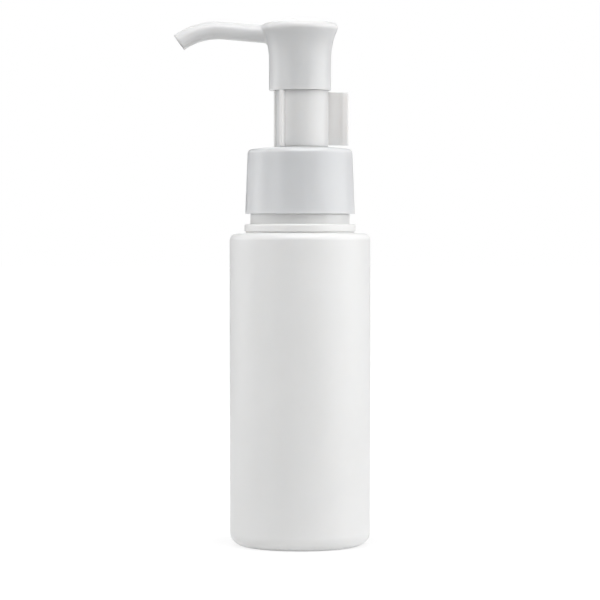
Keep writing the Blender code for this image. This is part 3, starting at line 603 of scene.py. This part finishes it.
def make_cap():
    crown = [(radius, cap_crown - CAP_FALL * (radius / CAP_TOP_R) ** 2) for radius in
             spread(CAP_TOP_R - CROWN_RIM + EDGE_ROUND, cap_hole_r + EDGE_ROUND, 12)]
    outline = rounded([
        (cap_bore_r + LEAD_IN, cap_foot),
        (cap_foot_r, cap_foot, EDGE_ROUND),
        (CAP_TOP_R, cap_crown - CAP_FALL, CROWN_ROUND),
        *crown,
        (cap_hole_r, cap_edge - 0.1 * MM),
        (cap_hole_r, cap_ceiling),
        (cap_bore_r, cap_ceiling, 1.0 * MM),
        (cap_bore_r, cap_foot + LEAD_IN),
    ])
    ridge = thread_ridge(cap_bore_r, -1, thread_z - PITCH / 2, CAP_TURNS)
    return combined(turned(outline), ("UNION", ridge))


make_piece("cap_moulding", make_cap(), cap_pp, "cap_body", "screw_cap")

# %% [markdown]
# ## The collar in the cap's opening
#
# This sleeve of natural polypropylene snaps into the pump's housing. Its top edge lies level with
# the crown of the cap. The lock clip stands on it, so it shows only in the clip's mouth, or as a
# narrow ring round the head's own sleeve once the clip is off.

# %% Make the collar
collar_foot, collar_top = low_high("housing_collar")
flange_r = reach("housing_collar")
flange_top = low_high("pump_housing")[1]
GAP = 0.3 * MM  # between pieces that rest on one another in the CAD model
FLANGE = 0.7 * MM
COLLAR_LIP = 1.2 * MM
COLLAR_SIDES = 128
sleeve_r = 6.8 * MM
collar_bore = sleeve_r + 0.2 * MM
collar_r = collar_bore + 1.0 * MM
stem_r = 3.5 * MM

collar_outline = rounded([
    (stem_r + GAP, collar_foot, 0.15 * MM),
    (collar_r, collar_foot, 0.3 * MM),
    (collar_r, flange_top - FLANGE),
    (flange_r, flange_top - FLANGE, 0.12 * MM),
    (flange_r, flange_top, 0.12 * MM),
    (collar_r, flange_top, 0.12 * MM),
    (collar_r, collar_top, 0.25 * MM),
    (collar_bore, collar_top, 0.2 * MM),
    (collar_bore, collar_foot + COLLAR_LIP, 0.15 * MM),
    (stem_r + GAP, collar_foot + COLLAR_LIP, 0.15 * MM),
])
make_piece("collar_moulding", turned(collar_outline, COLLAR_SIDES), natural_pp, "pump_body",
           "housing_collar")

# %% [markdown]
# ## The lock clip
#
# A thin C of polypropylene is snapped round the sleeve, so that the head can't be pressed in
# transit. Its mouth ends in two thick rounded lips, and a finger tab with a thickened rim stands
# out on the other side. Seen from above it is one outline, so it is an extrusion, whose edges are
# rounded by drawing the outline in over the last 0.15 mm. The tab is a little lower than the ring,
# so it is a second extrusion, joined to the ring's wall. Both outlines mirror their upper half.

# %% Sizes of the clip
clip_low, clip_high = low_high("lock_clip")
clip_foot = collar_top + SEAT
clip_top = clip_high + GAP - 0.04 * MM
clip_bore = sleeve_r + 0.2 * MM
clip_r = clip_bore + 1.0 * MM
CLIP_TURN = math.radians(7.8)
CLIP_EDGE = 0.15 * MM
LIP_R = 0.68 * MM
LIP_SUNK = 0.15 * MM  # how far a lip's circle lies inside the ring's outer circle
LIP_FILLET = 0.35 * MM
LIP_TURN = math.pi - math.radians(45.0)
MOUTH_HALF = sleeve_r - 1.05 * MM  # narrower than the sleeve, so that the clip holds on
FROM_MIRROR = math.radians(2.0)  # each half of the ring starts this far from the mirror line
RING_STEP = math.radians(4.0)
print("clip from", round(1000 * clip_foot, 2), "to", round(1000 * clip_top, 2), "mm, mouth",
      round(2000 * MOUTH_HALF, 1), "mm wide")

# %% The ring of the clip, seen from above
def mirrored(upper):
    """A closed outline from its half on the +Y side, turned about the axis with the clip."""
    lower = [Vector((point.x, -point.y)) for point in reversed(upper)]
    return [Matrix.Rotation(CLIP_TURN, 2) @ point for point in upper + lower]


def ring_half():
    """The C's upper half: outside from +X to the lip, round the lip, and back along the bore."""
    lip_reach = clip_r + LIP_R - LIP_SUNK
    lip = Vector((math.cos(LIP_TURN), math.sin(LIP_TURN))) * lip_reach
    off = clip_r + LIP_FILLET
    apart = (off**2 + lip_reach**2 - (LIP_R + LIP_FILLET) ** 2) / (2 * off * lip_reach)
    fillet_turn = LIP_TURN - math.acos(apart)
    fillet = Vector((math.cos(fillet_turn), math.sin(fillet_turn))) * off
    to_lip = lip - fillet
    throat = Vector((-math.sqrt(clip_bore**2 - MOUTH_HALF**2), MOUTH_HALF))
    inward = throat - lip
    lip_start = math.atan2(-to_lip.y, -to_lip.x)
    lip_end = math.atan2(inward.y, inward.x) - math.acos(LIP_R / inward.length) + 2 * math.pi
    fillet_start = fillet_turn - math.pi
    fillet_end = fillet_start - (fillet_start - math.atan2(to_lip.y, to_lip.x)) % (2 * math.pi)
    return [*arc((0, 0), clip_r, FROM_MIRROR, fillet_turn, RING_STEP),
            *arc(fillet, LIP_FILLET, fillet_start, fillet_end)[1:],
            *arc(lip, LIP_R, lip_start, lip_end)[1:],
            *arc((0, 0), clip_bore, math.atan2(throat.y, throat.x), FROM_MIRROR, RING_STEP)]


ring_outline = mirrored(ring_half())
print("the ring's outline has", len(ring_outline), "points")

# %% The tab of the clip, seen from above
TAB_REACH = 13.9 * MM
TAB_END_ROUND = 0.6 * MM
TAB_HALF = 0.65 * MM
TAB_RIM_HALF = 1.1 * MM
TAB_RIM_START = 11.4 * MM
TAB_RIM_FULL = 12.1 * MM
TAB_RIM_EASE = 0.9 * MM
TAB_FILLET = 0.5 * MM
TAB_SUNK = 0.6 * MM  # how far its root reaches into the ring's wall
ON_MIRROR = 0.05 * MM  # the half's first and last points, just off the mirror line


def tab_half():
    """The tab's upper half, from its end back to its root inside the ring's wall."""
    root = math.asin((TAB_HALF + 0.3 * MM) / clip_r)
    root_x, root_y = clip_r * math.cos(root), clip_r * math.sin(root)
    return rounded([
        (TAB_REACH, ON_MIRROR),
        (TAB_REACH, TAB_RIM_HALF, TAB_END_ROUND),
        (TAB_RIM_FULL, TAB_RIM_HALF, TAB_RIM_EASE),
        (TAB_RIM_START, TAB_HALF, TAB_RIM_EASE),
        (root_x + 0.1 * MM, TAB_HALF, TAB_FILLET),
        (root_x - 0.2 * MM, root_y + 0.1 * MM),
        (clip_r - TAB_SUNK, root_y),
        (clip_r - TAB_SUNK, ON_MIRROR),
    ])


tab_outline = mirrored(tab_half())
print("the tab's outline has", len(tab_outline), "points")

# %% Extrusion with rounded edges
SHARPEST = 0.5  # keeps the inset of a very sharp corner within bounds


def extruded(outline, low, high, edge):
    """A prism whose upper and lower edges are rounded by drawing the outline in."""
    levels = [(edge * (1 - math.sin(angle)), edge * (1 - math.cos(angle)))
              for angle in spread(0.0, math.pi / 2, 4)]
    rows = [(low + rise, inset) for inset, rise in levels]
    rows += [(high - rise, inset) for inset, rise in reversed(levels)]
    count = len(outline)
    rings = []
    for height, inset in rows:
        ring = []
        for n, point in enumerate(outline):
            back = (point - outline[n - 1]).normalized()
            ahead = (outline[(n + 1) % count] - point).normalized()
            inward = Vector((-back.y - ahead.y, back.x + ahead.x))
            share = inset * 2 / max(inward.length_squared, SHARPEST)
            ring.append((*(point + inward * share), height))
        rings.append(ring)
    return skinned(rings)


# %% Make the clip
ring_prism = extruded(ring_outline, clip_foot, clip_top, CLIP_EDGE)
tab_prism = extruded(tab_outline, clip_low + 0.2 * MM, clip_high - 0.1 * MM, CLIP_EDGE)
make_piece("clip_moulding", combined(ring_prism, ("UNION", tab_prism)), clip_pp, "clip_body",
           "lock_clip")

# %% [markdown]
# ## The head
#
# The head is one moulding: a straight skirt that flares to a domed top, a nozzle that rises a
# little and then bends down, a socket for the stem, and a sleeve that runs down into the collar.
# The outline of the top is three arcs, each tangent to the next: the flare, the rim and the dome.
# Their radii follow from the tangency, which keeps the highlight on them unbroken. The skirt stands
# on the clip with the inner edge of its foot, so no light falls through between the two.

# %% Sizes of the head
sleeve_foot, head_top = low_high("pump_head")
flare_r = reach("pump_head")
skirt_z = clip_high + GAP
skirt_foot = clip_top + SEAT
FOOT_BORE = 7.3 * MM
SKIRT_R = 8.8 * MM
SKIRT_WALL = 0.85 * MM
SKIRT_EDGE = 0.3 * MM
FLARE_RISE = 17.8 * MM
FLARE_HEIGHT = 9.2 * MM
RIM_R = 1.4 * MM
flare_z = skirt_z + FLARE_RISE
rim_middle = Vector((flare_r - RIM_R, flare_z))
flare_foot = flare_z - FLARE_HEIGHT
widening = rim_middle.x - SKIRT_R
bend_r = (widening**2 + FLARE_HEIGHT**2 - RIM_R**2) / (2 * (RIM_R + widening))
rise = head_top - flare_z
dome_r = (rise**2 + rim_middle.x**2 - RIM_R**2) / (2 * (rise - RIM_R))
rim_start = -math.asin(FLARE_HEIGHT / (bend_r + RIM_R))
rim_end = math.atan2(dome_r - rise, rim_middle.x)
print("flare, rim and dome radii in mm:", round(1000 * bend_r, 1), 1000 * RIM_R, round(1000 * dome_r, 1))

# %% The head's outline
ROOF = 3.0 * MM  # from the dome down to the hollow of the skirt
COLUMN_R = 5.7 * MM
SOCKET_LIFT = 2.0 * MM
SOCKET_DEPTH = 10.0 * MM
CHANNEL_R = 2.3 * MM
CHANNEL_ROOF = 1.8 * MM
SLEEVE_WALL = 1.0 * MM
INSIDE_ROUND = 0.3 * MM
FOOT_LAP = 0.05 * MM  # how far the step in the foot is from the clip's edge
socket_r = stem_r + 0.2 * MM


def flare_radius(height, wall=0.0):
    """Radius of the skirt at a height: straight, then the flare's arc."""
    above = max(height - flare_foot, 0)
    return SKIRT_R - wall + bend_r - math.sqrt(bend_r**2 - above**2)


def head_outline():
    flare_end = rim_middle.y + RIM_R * math.sin(rim_start)
    rim = arc(rim_middle, RIM_R, rim_start, rim_end, math.radians(8.0))
    dome = arc((0.0, head_top - dome_r), dome_r, rim_end, math.pi / 2, math.radians(0.9))
    hollow_top = head_top - ROOF
    socket_mouth = skirt_z + SOCKET_LIFT
    socket_top = socket_mouth + SOCKET_DEPTH
    return rounded([
        (clip_r + FOOT_LAP, skirt_z),
        (SKIRT_R, skirt_z, SKIRT_EDGE),
        *[(flare_radius(z), z) for z in spread(flare_foot, flare_end, 24)[:-1]],
        *[tuple(point) for point in rim + dome[1:-1]],
        (0.0, head_top),
        (0.0, head_top - CHANNEL_ROOF),
        (CHANNEL_R, head_top - CHANNEL_ROOF),
        (CHANNEL_R, socket_top),
        (socket_r, socket_top),
        (socket_r, socket_mouth),
        (sleeve_r - SLEEVE_WALL, socket_mouth, INSIDE_ROUND),
        (sleeve_r - SLEEVE_WALL, sleeve_foot, 0.2 * MM),
        (sleeve_r, sleeve_foot, INSIDE_ROUND),
        (sleeve_r, socket_mouth + SLEEVE_WALL, INSIDE_ROUND),
        (COLUMN_R, socket_mouth + SLEEVE_WALL, INSIDE_ROUND),
        (COLUMN_R, hollow_top, 0.5 * MM),
        (flare_radius(hollow_top, SKIRT_WALL) - 0.01 * MM, hollow_top, INSIDE_ROUND),
        *[(flare_radius(z, SKIRT_WALL), z) for z in spread(hollow_top, flare_foot, 10)[1:]],
        (SKIRT_R - SKIRT_WALL, skirt_z + 1.6 * MM),
        (FOOT_BORE, skirt_z + 1.0 * MM),
        (FOOT_BORE, skirt_foot),
        (clip_r - FOOT_LAP, skirt_foot),
    ])


print("the head's outline has", len(head_outline()), "points")

# %% [markdown]
# ### The nozzle
#
# The nozzle is a round tube swept along a straight rise and one bend. A curve object with a bevel
# would sweep it too, but its rings couldn't be fitted to the head. Here the sweep is made ring by
# ring: square to the path on the bend, and fitted to the head at the root.

# %% Path of the nozzle
NOZZLE_R = 2.55 * MM
NOZZLE_BORE_R = 1.5 * MM
NOZZLE_SIDES = 64
APEX_REACH = 23.2 * MM
APEX_DROP = 3.3 * MM
BEND_R = 19.5 * MM
RISE = math.radians(5.0)
DROOP = math.radians(35.7)
ACROSS = Vector((0.0, 1.0, 0.0))
bend_middle = Vector((-APEX_REACH, 0.0, head_top - APEX_DROP - BEND_R))


def bend_point(angle):
    """Point of the nozzle's middle line on its bend, and the direction towards the tip there."""
    spoke = Vector((math.sin(angle), 0.0, math.cos(angle)))
    return bend_middle + spoke * BEND_R, Vector((-math.cos(angle), 0.0, math.sin(angle)))


def around_path(point, ahead, radius):
    """A ring of points round a path that stays in the XZ plane."""
    up = ACROSS.cross(ahead)
    return [point + (ACROSS * x + up * y) * radius for x, y in circle(NOZZLE_SIDES)]


def bend_rings(steps, radius):
    """Rings round the bend, from its start to its end."""
    return [around_path(*bend_point(angle), radius) for angle in spread(RISE, -DROOP, steps)]


print("the middle of the tip is at", [round(1000 * value, 2) for value in bend_point(-DROOP)[0]], "mm")

# %% [markdown]
# Where the nozzle grows out of the flare the real tool has a fillet of under a millimetre. A Bevel
# on the Boolean's seam would stumble over the small faces there. So the fillet belongs to the tube:
# its first rings widen along a quarter circle while they close in on the flare, and the union then
# meets the flare almost flat. Each point of those rings is found by halving the way to the head.

# %% Where a line meets the head
def head_radius(height):
    """Outer radius of flare, rim and dome at a height."""
    if height < rim_middle.y + RIM_R * math.sin(rim_start):
        return flare_radius(height)
    if height < rim_middle.y + RIM_R * math.sin(rim_end):
        return rim_middle.x + math.sqrt(max(RIM_R**2 - (height - rim_middle.y) ** 2, 0.0))
    return math.sqrt(max(dome_r**2 - (height - head_top + dome_r) ** 2, 0.0))


def meets_head(start, direction):
    """Distance from start along direction at which a line enters the head."""
    near, far = 0.0, start.xy.length
    for _ in range(40):  # halvings, to the limit of the numbers
        middle = (near + far) / 2
        point = start + direction * middle
        if point.xy.length > head_radius(point.z):
            near = middle
        else:
            far = middle
    return near


print("the nozzle leaves the head", round(1000 * head_radius(bend_point(RISE)[0].z), 2), "mm from the axis")

# %% The nozzle and its bore
ROOT_FILLET = 0.8 * MM
FILLET_SWEEP = math.radians(78.0)  # short of a right angle, where the widest ring would lie flat
ROOT_SUNK = 0.5 * MM
STRAIGHT_STEPS = 12
TIP_ROUND = 0.3 * MM
TIP_BACK = 0.17 * MM  # keeps the rounded tip inside the CAD box
BORE_PAST_TIP = 1.0 * MM


def make_nozzle():
    start, ahead = bend_point(RISE)
    inward = -ahead
    rings = []
    for angle in spread(FILLET_SWEEP, 0.0, 8):
        wider = ROOT_FILLET * (1 - math.cos(angle))
        off = ROOT_FILLET * (1 - math.sin(angle))
        rings.append([point + inward * (meets_head(point, inward) - off)
                      for point in around_path(start, ahead, NOZZLE_R + wider)])
    root = rings[-1]
    rings.insert(0, [point + inward * ROOT_SUNK for point in rings[0]])
    bend = bend_rings(40, NOZZLE_R)
    for step in range(1, STRAIGHT_STEPS):
        rings.append([a.lerp(b, step / STRAIGHT_STEPS) for a, b in zip(root, bend[0])])
    rings += bend[:-1]
    tip, ahead = bend_point(-DROOP)
    tip -= ahead * TIP_BACK
    for angle in spread(0.0, math.pi / 2, 5):
        rings.append(around_path(tip - ahead * TIP_ROUND * (1 - math.sin(angle)), ahead,
                                 NOZZLE_R - TIP_ROUND * (1 - math.cos(angle))))
    return skinned(rings)


def make_nozzle_bore():
    start, ahead = bend_point(RISE)
    root = around_path(start + ahead * start.x / math.cos(RISE), ahead, NOZZLE_BORE_R)  # on the axis
    tip, ahead = bend_point(-DROOP)
    end = around_path(tip + ahead * BORE_PAST_TIP, ahead, NOZZLE_BORE_R)
    return skinned([root, *bend_rings(24, NOZZLE_BORE_R), end])


print("the nozzle's tube is", round(2000 * NOZZLE_R, 1), "mm thick and its bore",
      round(2000 * NOZZLE_BORE_R, 1), "mm")

# %% Make the head
HEAD_SIDES = 144
head_bm = combined(turned(head_outline(), HEAD_SIDES), ("UNION", make_nozzle()),
                   ("DIFFERENCE", make_nozzle_bore()))
head = make_piece("head_moulding", head_bm, head_pp, "head_body", "pump_head")

# %% [markdown]
# ## The return spring
#
# The spring is stainless wire coiled cold round a mandrel: seven open turns, and a nearly closed one
# at each end to stand on. A curve with a round bevel could draw it. Here rings of points are swept
# along the helix, with the same skin as the thread's, because the result is a mesh, and a mesh can
# be squashed. The real coil shortens by the stroke as the head is pressed.

# %% Make the return spring
WIRE_R = 0.45 * MM
WIRE_SIDES = 16
COIL_R = 3.9 * MM
COIL_STEPS = 48  # rings of points in a turn
OPEN_TURNS = 7
CLOSED_PITCH = 1.25 * MM
spring_foot, spring_head = low_high("return_spring")


def make_spring():
    open_rise = spring_head - spring_foot - 2 * WIRE_R - 2 * CLOSED_PITCH
    rings = []
    for step in range((OPEN_TURNS + 2) * COIL_STEPS + 1):
        turn = step / COIL_STEPS
        closed = min(turn, 1) + max(turn - 1 - OPEN_TURNS, 0)
        height = spring_foot + WIRE_R + closed * CLOSED_PITCH + open_rise * (turn - closed) / OPEN_TURNS
        out = Vector((math.cos(2 * math.pi * turn), math.sin(2 * math.pi * turn), 0.0))
        rings.append([out * (COIL_R + WIRE_R * x) + Vector((0.0, 0.0, height + WIRE_R * y))
                      for x, y in circle(WIRE_SIDES)])
    return skinned(rings)


spring = make_piece("spring_coil", make_spring(), spring_steel, "pump_body", "return_spring")
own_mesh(spring)

# %% [markdown]
# ## What works inside
#
# None of these show in the picture. Housing, gasket and tube do once the pump is out of the bottle,
# and the others once it is taken apart. Their CAD solids have the right shape, so they only get the
# materials of the real ones.

# %% Finish the inner pieces
inner = {
    "pump_housing": natural_pp,
    "stem": natural_pp,
    "piston_rod": natural_pe,
    "piston": natural_pe,
    "dip_tube": tube_pe,
    "neck_gasket": foam,
    "inlet_ball": ball_steel,
}
for node, material in inner.items():
    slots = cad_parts[node].data.materials
    slots.clear()
    slots.append(material)
    print(node, "is", material.name)


# %% [markdown]
# ## Floor and backdrop
#
# The bottle stands on a plain white surface that runs on to the horizon. To the camera it should be
# white, with only the soft shadow of the bottle on it. To the bottle it is white paper that throws a
# moderate amount of light back up, and close by it also glows a little, a painted glow that lights the
# bottle's foot from below. The Light Path node tells the two kinds of ray apart. The world is split in
# the same way: white to the eye, a dim room to the object.

# %% Sheets of paper, and what only the eye sees
WHITE = (1.0, 1.0, 1.0, 1.0)


def add_sheet(name, width, height, material):
    """A flat sheet of paper as an object."""
    bm = bmesh.new()
    bmesh.ops.create_grid(bm, x_segments=1, y_segments=1, size=0.5)
    bmesh.ops.scale(bm, vec=(width, height, 1.0), verts=bm.verts)
    sheet = add_object(name, bm)
    sheet.data.materials.append(material)
    return sheet


def seen_by_eye(tree):
    """A socket that is 1 for a ray from the camera: straight, mirrored or through a clear piece."""
    path = add_node(tree, "ShaderNodeLightPath")
    seen = path.outputs["Is Camera Ray"]
    for ray in ("Is Glossy Ray", "Is Transmission Ray"):
        either = add_node(tree, "ShaderNodeMath", {0: seen, 1: path.outputs[ray]}, operation="MAXIMUM")
        seen = either.outputs[0]
    return seen


# %% Floor
FLOOR_WIDTH = 12.0
FLOOR_DROP = 0.02 * MM  # keeps the floor just under the bottle's flat base
# The paper's glow near the bottle is painted light: it lights the bottle's foot from below.
GLOW_STRENGTH, GLOW_REACH = 0.1, 1.6 * body_r  # light that the paper adds near the bottle, and how far
CONTACT, CONTACT_REACH = 0.82, 3 * body_r  # whiteness at the bottle's foot, and where it is full


def white_paper():
    material = bpy.data.materials.new("matt_white_paper")
    material.use_nodes = True
    tree = material.node_tree
    tree.nodes.clear()
    place = add_node(tree, "ShaderNodeTexCoord").outputs["Object"]
    away = add_node(tree, "ShaderNodeVectorMath", {0: place}, operation="LENGTH").outputs["Value"]
    sheet = add_node(tree, "ShaderNodeBsdfDiffuse", {"Color": linear("E6E6E6")})
    # painted glow: the paper near the bottle gives off light of its own, fading out with the distance
    glow_fade = add_node(tree, "ShaderNodeMapRange",
                     {"Value": away, "From Min": body_r, "From Max": GLOW_REACH,
                      "To Min": GLOW_STRENGTH, "To Max": 0.0}, interpolation_type="SMOOTHSTEP")
    painted_glow = add_node(tree, "ShaderNodeEmission", {"Strength": glow_fade.outputs["Result"]})
    paper = add_node(tree, "ShaderNodeAddShader", {0: sheet.outputs[0], 1: painted_glow.outputs[0]})
    thin = add_node(tree, "ShaderNodeBsdfDiffuse", {"Color": linear("7C7C7C")})
    level = add_node(tree, "ShaderNodeMapRange",
                     {"Value": away, "From Min": body_r, "From Max": CONTACT_REACH,
                      "To Min": CONTACT, "To Max": 1.0}, interpolation_type="SMOOTHSTEP")
    glow = add_node(tree, "ShaderNodeEmission", {"Color": WHITE, "Strength": level.outputs["Result"]})
    seen = add_node(tree, "ShaderNodeAddShader", {0: thin.outputs[0], 1: glow.outputs[0]})
    mix = add_node(tree, "ShaderNodeMixShader", {0: seen_by_eye(tree), 1: paper.outputs[0],
                                                 2: seen.outputs[0]})
    add_node(tree, "ShaderNodeOutputMaterial", {"Surface": mix.outputs[0]})
    return material


floor = add_sheet("floor", FLOOR_WIDTH, FLOOR_WIDTH, white_paper())
floor.location = (0.0, 0.0, -FLOOR_DROP)
print("the floor is", FLOOR_WIDTH, "m wide")

# %% World
AMBIENT = 0.1


def make_world():
    world = bpy.data.worlds.new("studio")
    world.use_nodes = True
    tree = world.node_tree
    tree.nodes.clear()
    room = add_node(tree, "ShaderNodeBackground", {"Color": WHITE, "Strength": AMBIENT})
    white = add_node(tree, "ShaderNodeBackground", {"Color": WHITE, "Strength": 1.0})
    mix = add_node(tree, "ShaderNodeMixShader", {0: seen_by_eye(tree), 1: room.outputs[0],
                                                 2: white.outputs[0]})
    add_node(tree, "ShaderNodeOutputWorld", {"Surface": mix.outputs[0]})
    return world


bpy.context.scene.world = make_world()
print("the room adds", AMBIENT, "of white to the object")

# %% [markdown]
# ## Light
#
# Packshots of white bottles are lit by large softboxes close by. Here tall ones stand on both sides,
# two of them on the right, and weaker ones in front, which leaves the darkest strip of each round
# piece a little left of its middle. Three from above light the top faces and the nozzle, and one
# behind is for the other views. Their strengths were set by comparing renders with the photograph.

# %% Softboxes
TARGET = Vector((0.0, 0.0, 0.08))
LAMPS = (  # name, azimuth and elevation in degrees, distance, width and height in metres, power in W
    ("side_left", -100, 10, 0.8, 0.4, 0.7, 2.15),
    ("front_left", -55, 12, 0.8, 0.3, 0.7, 0.83),
    ("front_right", 50, 15, 0.8, 0.3, 0.7, 0.92),
    ("key_right", 75, 15, 0.8, 0.3, 0.7, 1.73),
    ("side_right", 100, 10, 0.8, 0.4, 0.7, 1.65),
    ("top", 0, 82, 0.7, 0.6, 0.6, 1.75),
    ("front_top", 0, 66, 0.8, 0.6, 0.3, 1.95),
    ("front_high", 0, 48, 0.8, 0.6, 0.3, 1.65),
    ("back", 180, 35, 0.9, 0.6, 0.6, 0.5),
)


def softbox(name, azimuth, elevation, distance, width, height, power):
    """A rectangular lamp that faces the bottle. Azimuth 0 is the camera's side, and 90 is +X."""
    around, up = math.radians(azimuth), math.radians(elevation)
    direction = Vector((math.sin(around) * math.cos(up), -math.cos(around) * math.cos(up), math.sin(up)))
    light = bpy.data.lights.new(name, "AREA")
    light.shape = "RECTANGLE"
    light.size = width
    light.size_y = height
    light.energy = power
    lamp = bpy.data.objects.new(name, light)
    lamp.location = TARGET + direction * distance
    lamp.rotation_euler = direction.to_track_quat("Z", "Y").to_euler()
    bpy.context.collection.objects.link(lamp)
    print(name, "gives", power, "W")


for lamp_row in LAMPS:
    softbox(*lamp_row)


# %% [markdown]
# White on white has no outline of its own. Photographers stand black cards just out of the picture:
# a round glossy piece mirrors them in the thin strip along its sides, which draws a soft dark line
# there. A dark room behind the camera keeps the middle of each piece from going pale in the same
# way. The cards are part of the studio: the camera doesn't see them, and they cast no shadow.

# %% Black cards
FIBRE = 2.5 * MM  # coarse enough to show in a reflection
CARDS = (  # name, azimuth in degrees, distance, width and height in metres
    ("card_camera_side", 0, 1.15, 1.7, 1.6),
    ("card_left", -160, 0.75, 0.26, 1.0),
    ("card_right", 166, 0.75, 0.2, 1.0),
)


def flock():
    material, tree, shader, place = new_material("black_flock_paper")
    fibre = add_node(tree, "ShaderNodeTexNoise", {"Vector": place, "Scale": 1 / FIBRE})
    tint = add_node(tree, "ShaderNodeMix",
                    {"Factor": fibre.outputs["Fac"], MIX_A: linear("101010"), MIX_B: linear("1A1A1A")},
                    data_type="RGBA")
    tree.links.new(tint.outputs[MIX_RESULT], shader.inputs["Base Color"])
    shader.inputs["Roughness"].default_value = 1.0
    shader.inputs["Specular IOR Level"].default_value = 0.0
    return material


def black_card(name, azimuth, distance, width, height):
    """An upright black card that faces the bottle and shows only in reflections."""
    around = math.radians(azimuth)
    card = add_sheet(name, width, height, black_flock)
    card.location = (distance * math.sin(around), -distance * math.cos(around), height / 2)
    card.rotation_euler = (math.pi / 2, 0.0, around)
    card.visible_camera = False
    card.visible_shadow = False
    print(name, "is", width, "m wide")


black_flock = flock()
for card_row in CARDS:
    black_card(*card_row)


# %% [markdown]
# ## Camera
#
# A long lens from nearly 0.8 m, level with the bottle's shoulder. It looks down by a degree and a
# half at the middle of the picture. That is too little to bring the bottle's sides together, so the
# lens needs no shift. The Standard view transform shows a colour as it was written.

# %% Camera
CAMERA_PLACE = Vector((0.0, -0.790, 0.0898))
LOOK_AT = Vector((0.0, 0.0, 0.0699))
SENSOR_MM, LENS_MM = 36.0, 166.5


def make_camera():
    data = bpy.data.cameras.new("camera")
    data.sensor_width = SENSOR_MM
    data.lens = LENS_MM
    camera = bpy.data.objects.new("camera", data)
    camera.location = CAMERA_PLACE
    camera.rotation_euler = (LOOK_AT - CAMERA_PLACE).to_track_quat("-Z", "Y").to_euler()
    bpy.context.collection.objects.link(camera)
    return camera


bpy.context.scene.camera = make_camera()
bpy.context.scene.view_settings.view_transform = "Standard"
print("at the bottle the picture is",
      round(1000 * SENSOR_MM / LENS_MM * (LOOK_AT - CAMERA_PLACE).length), "mm wide")
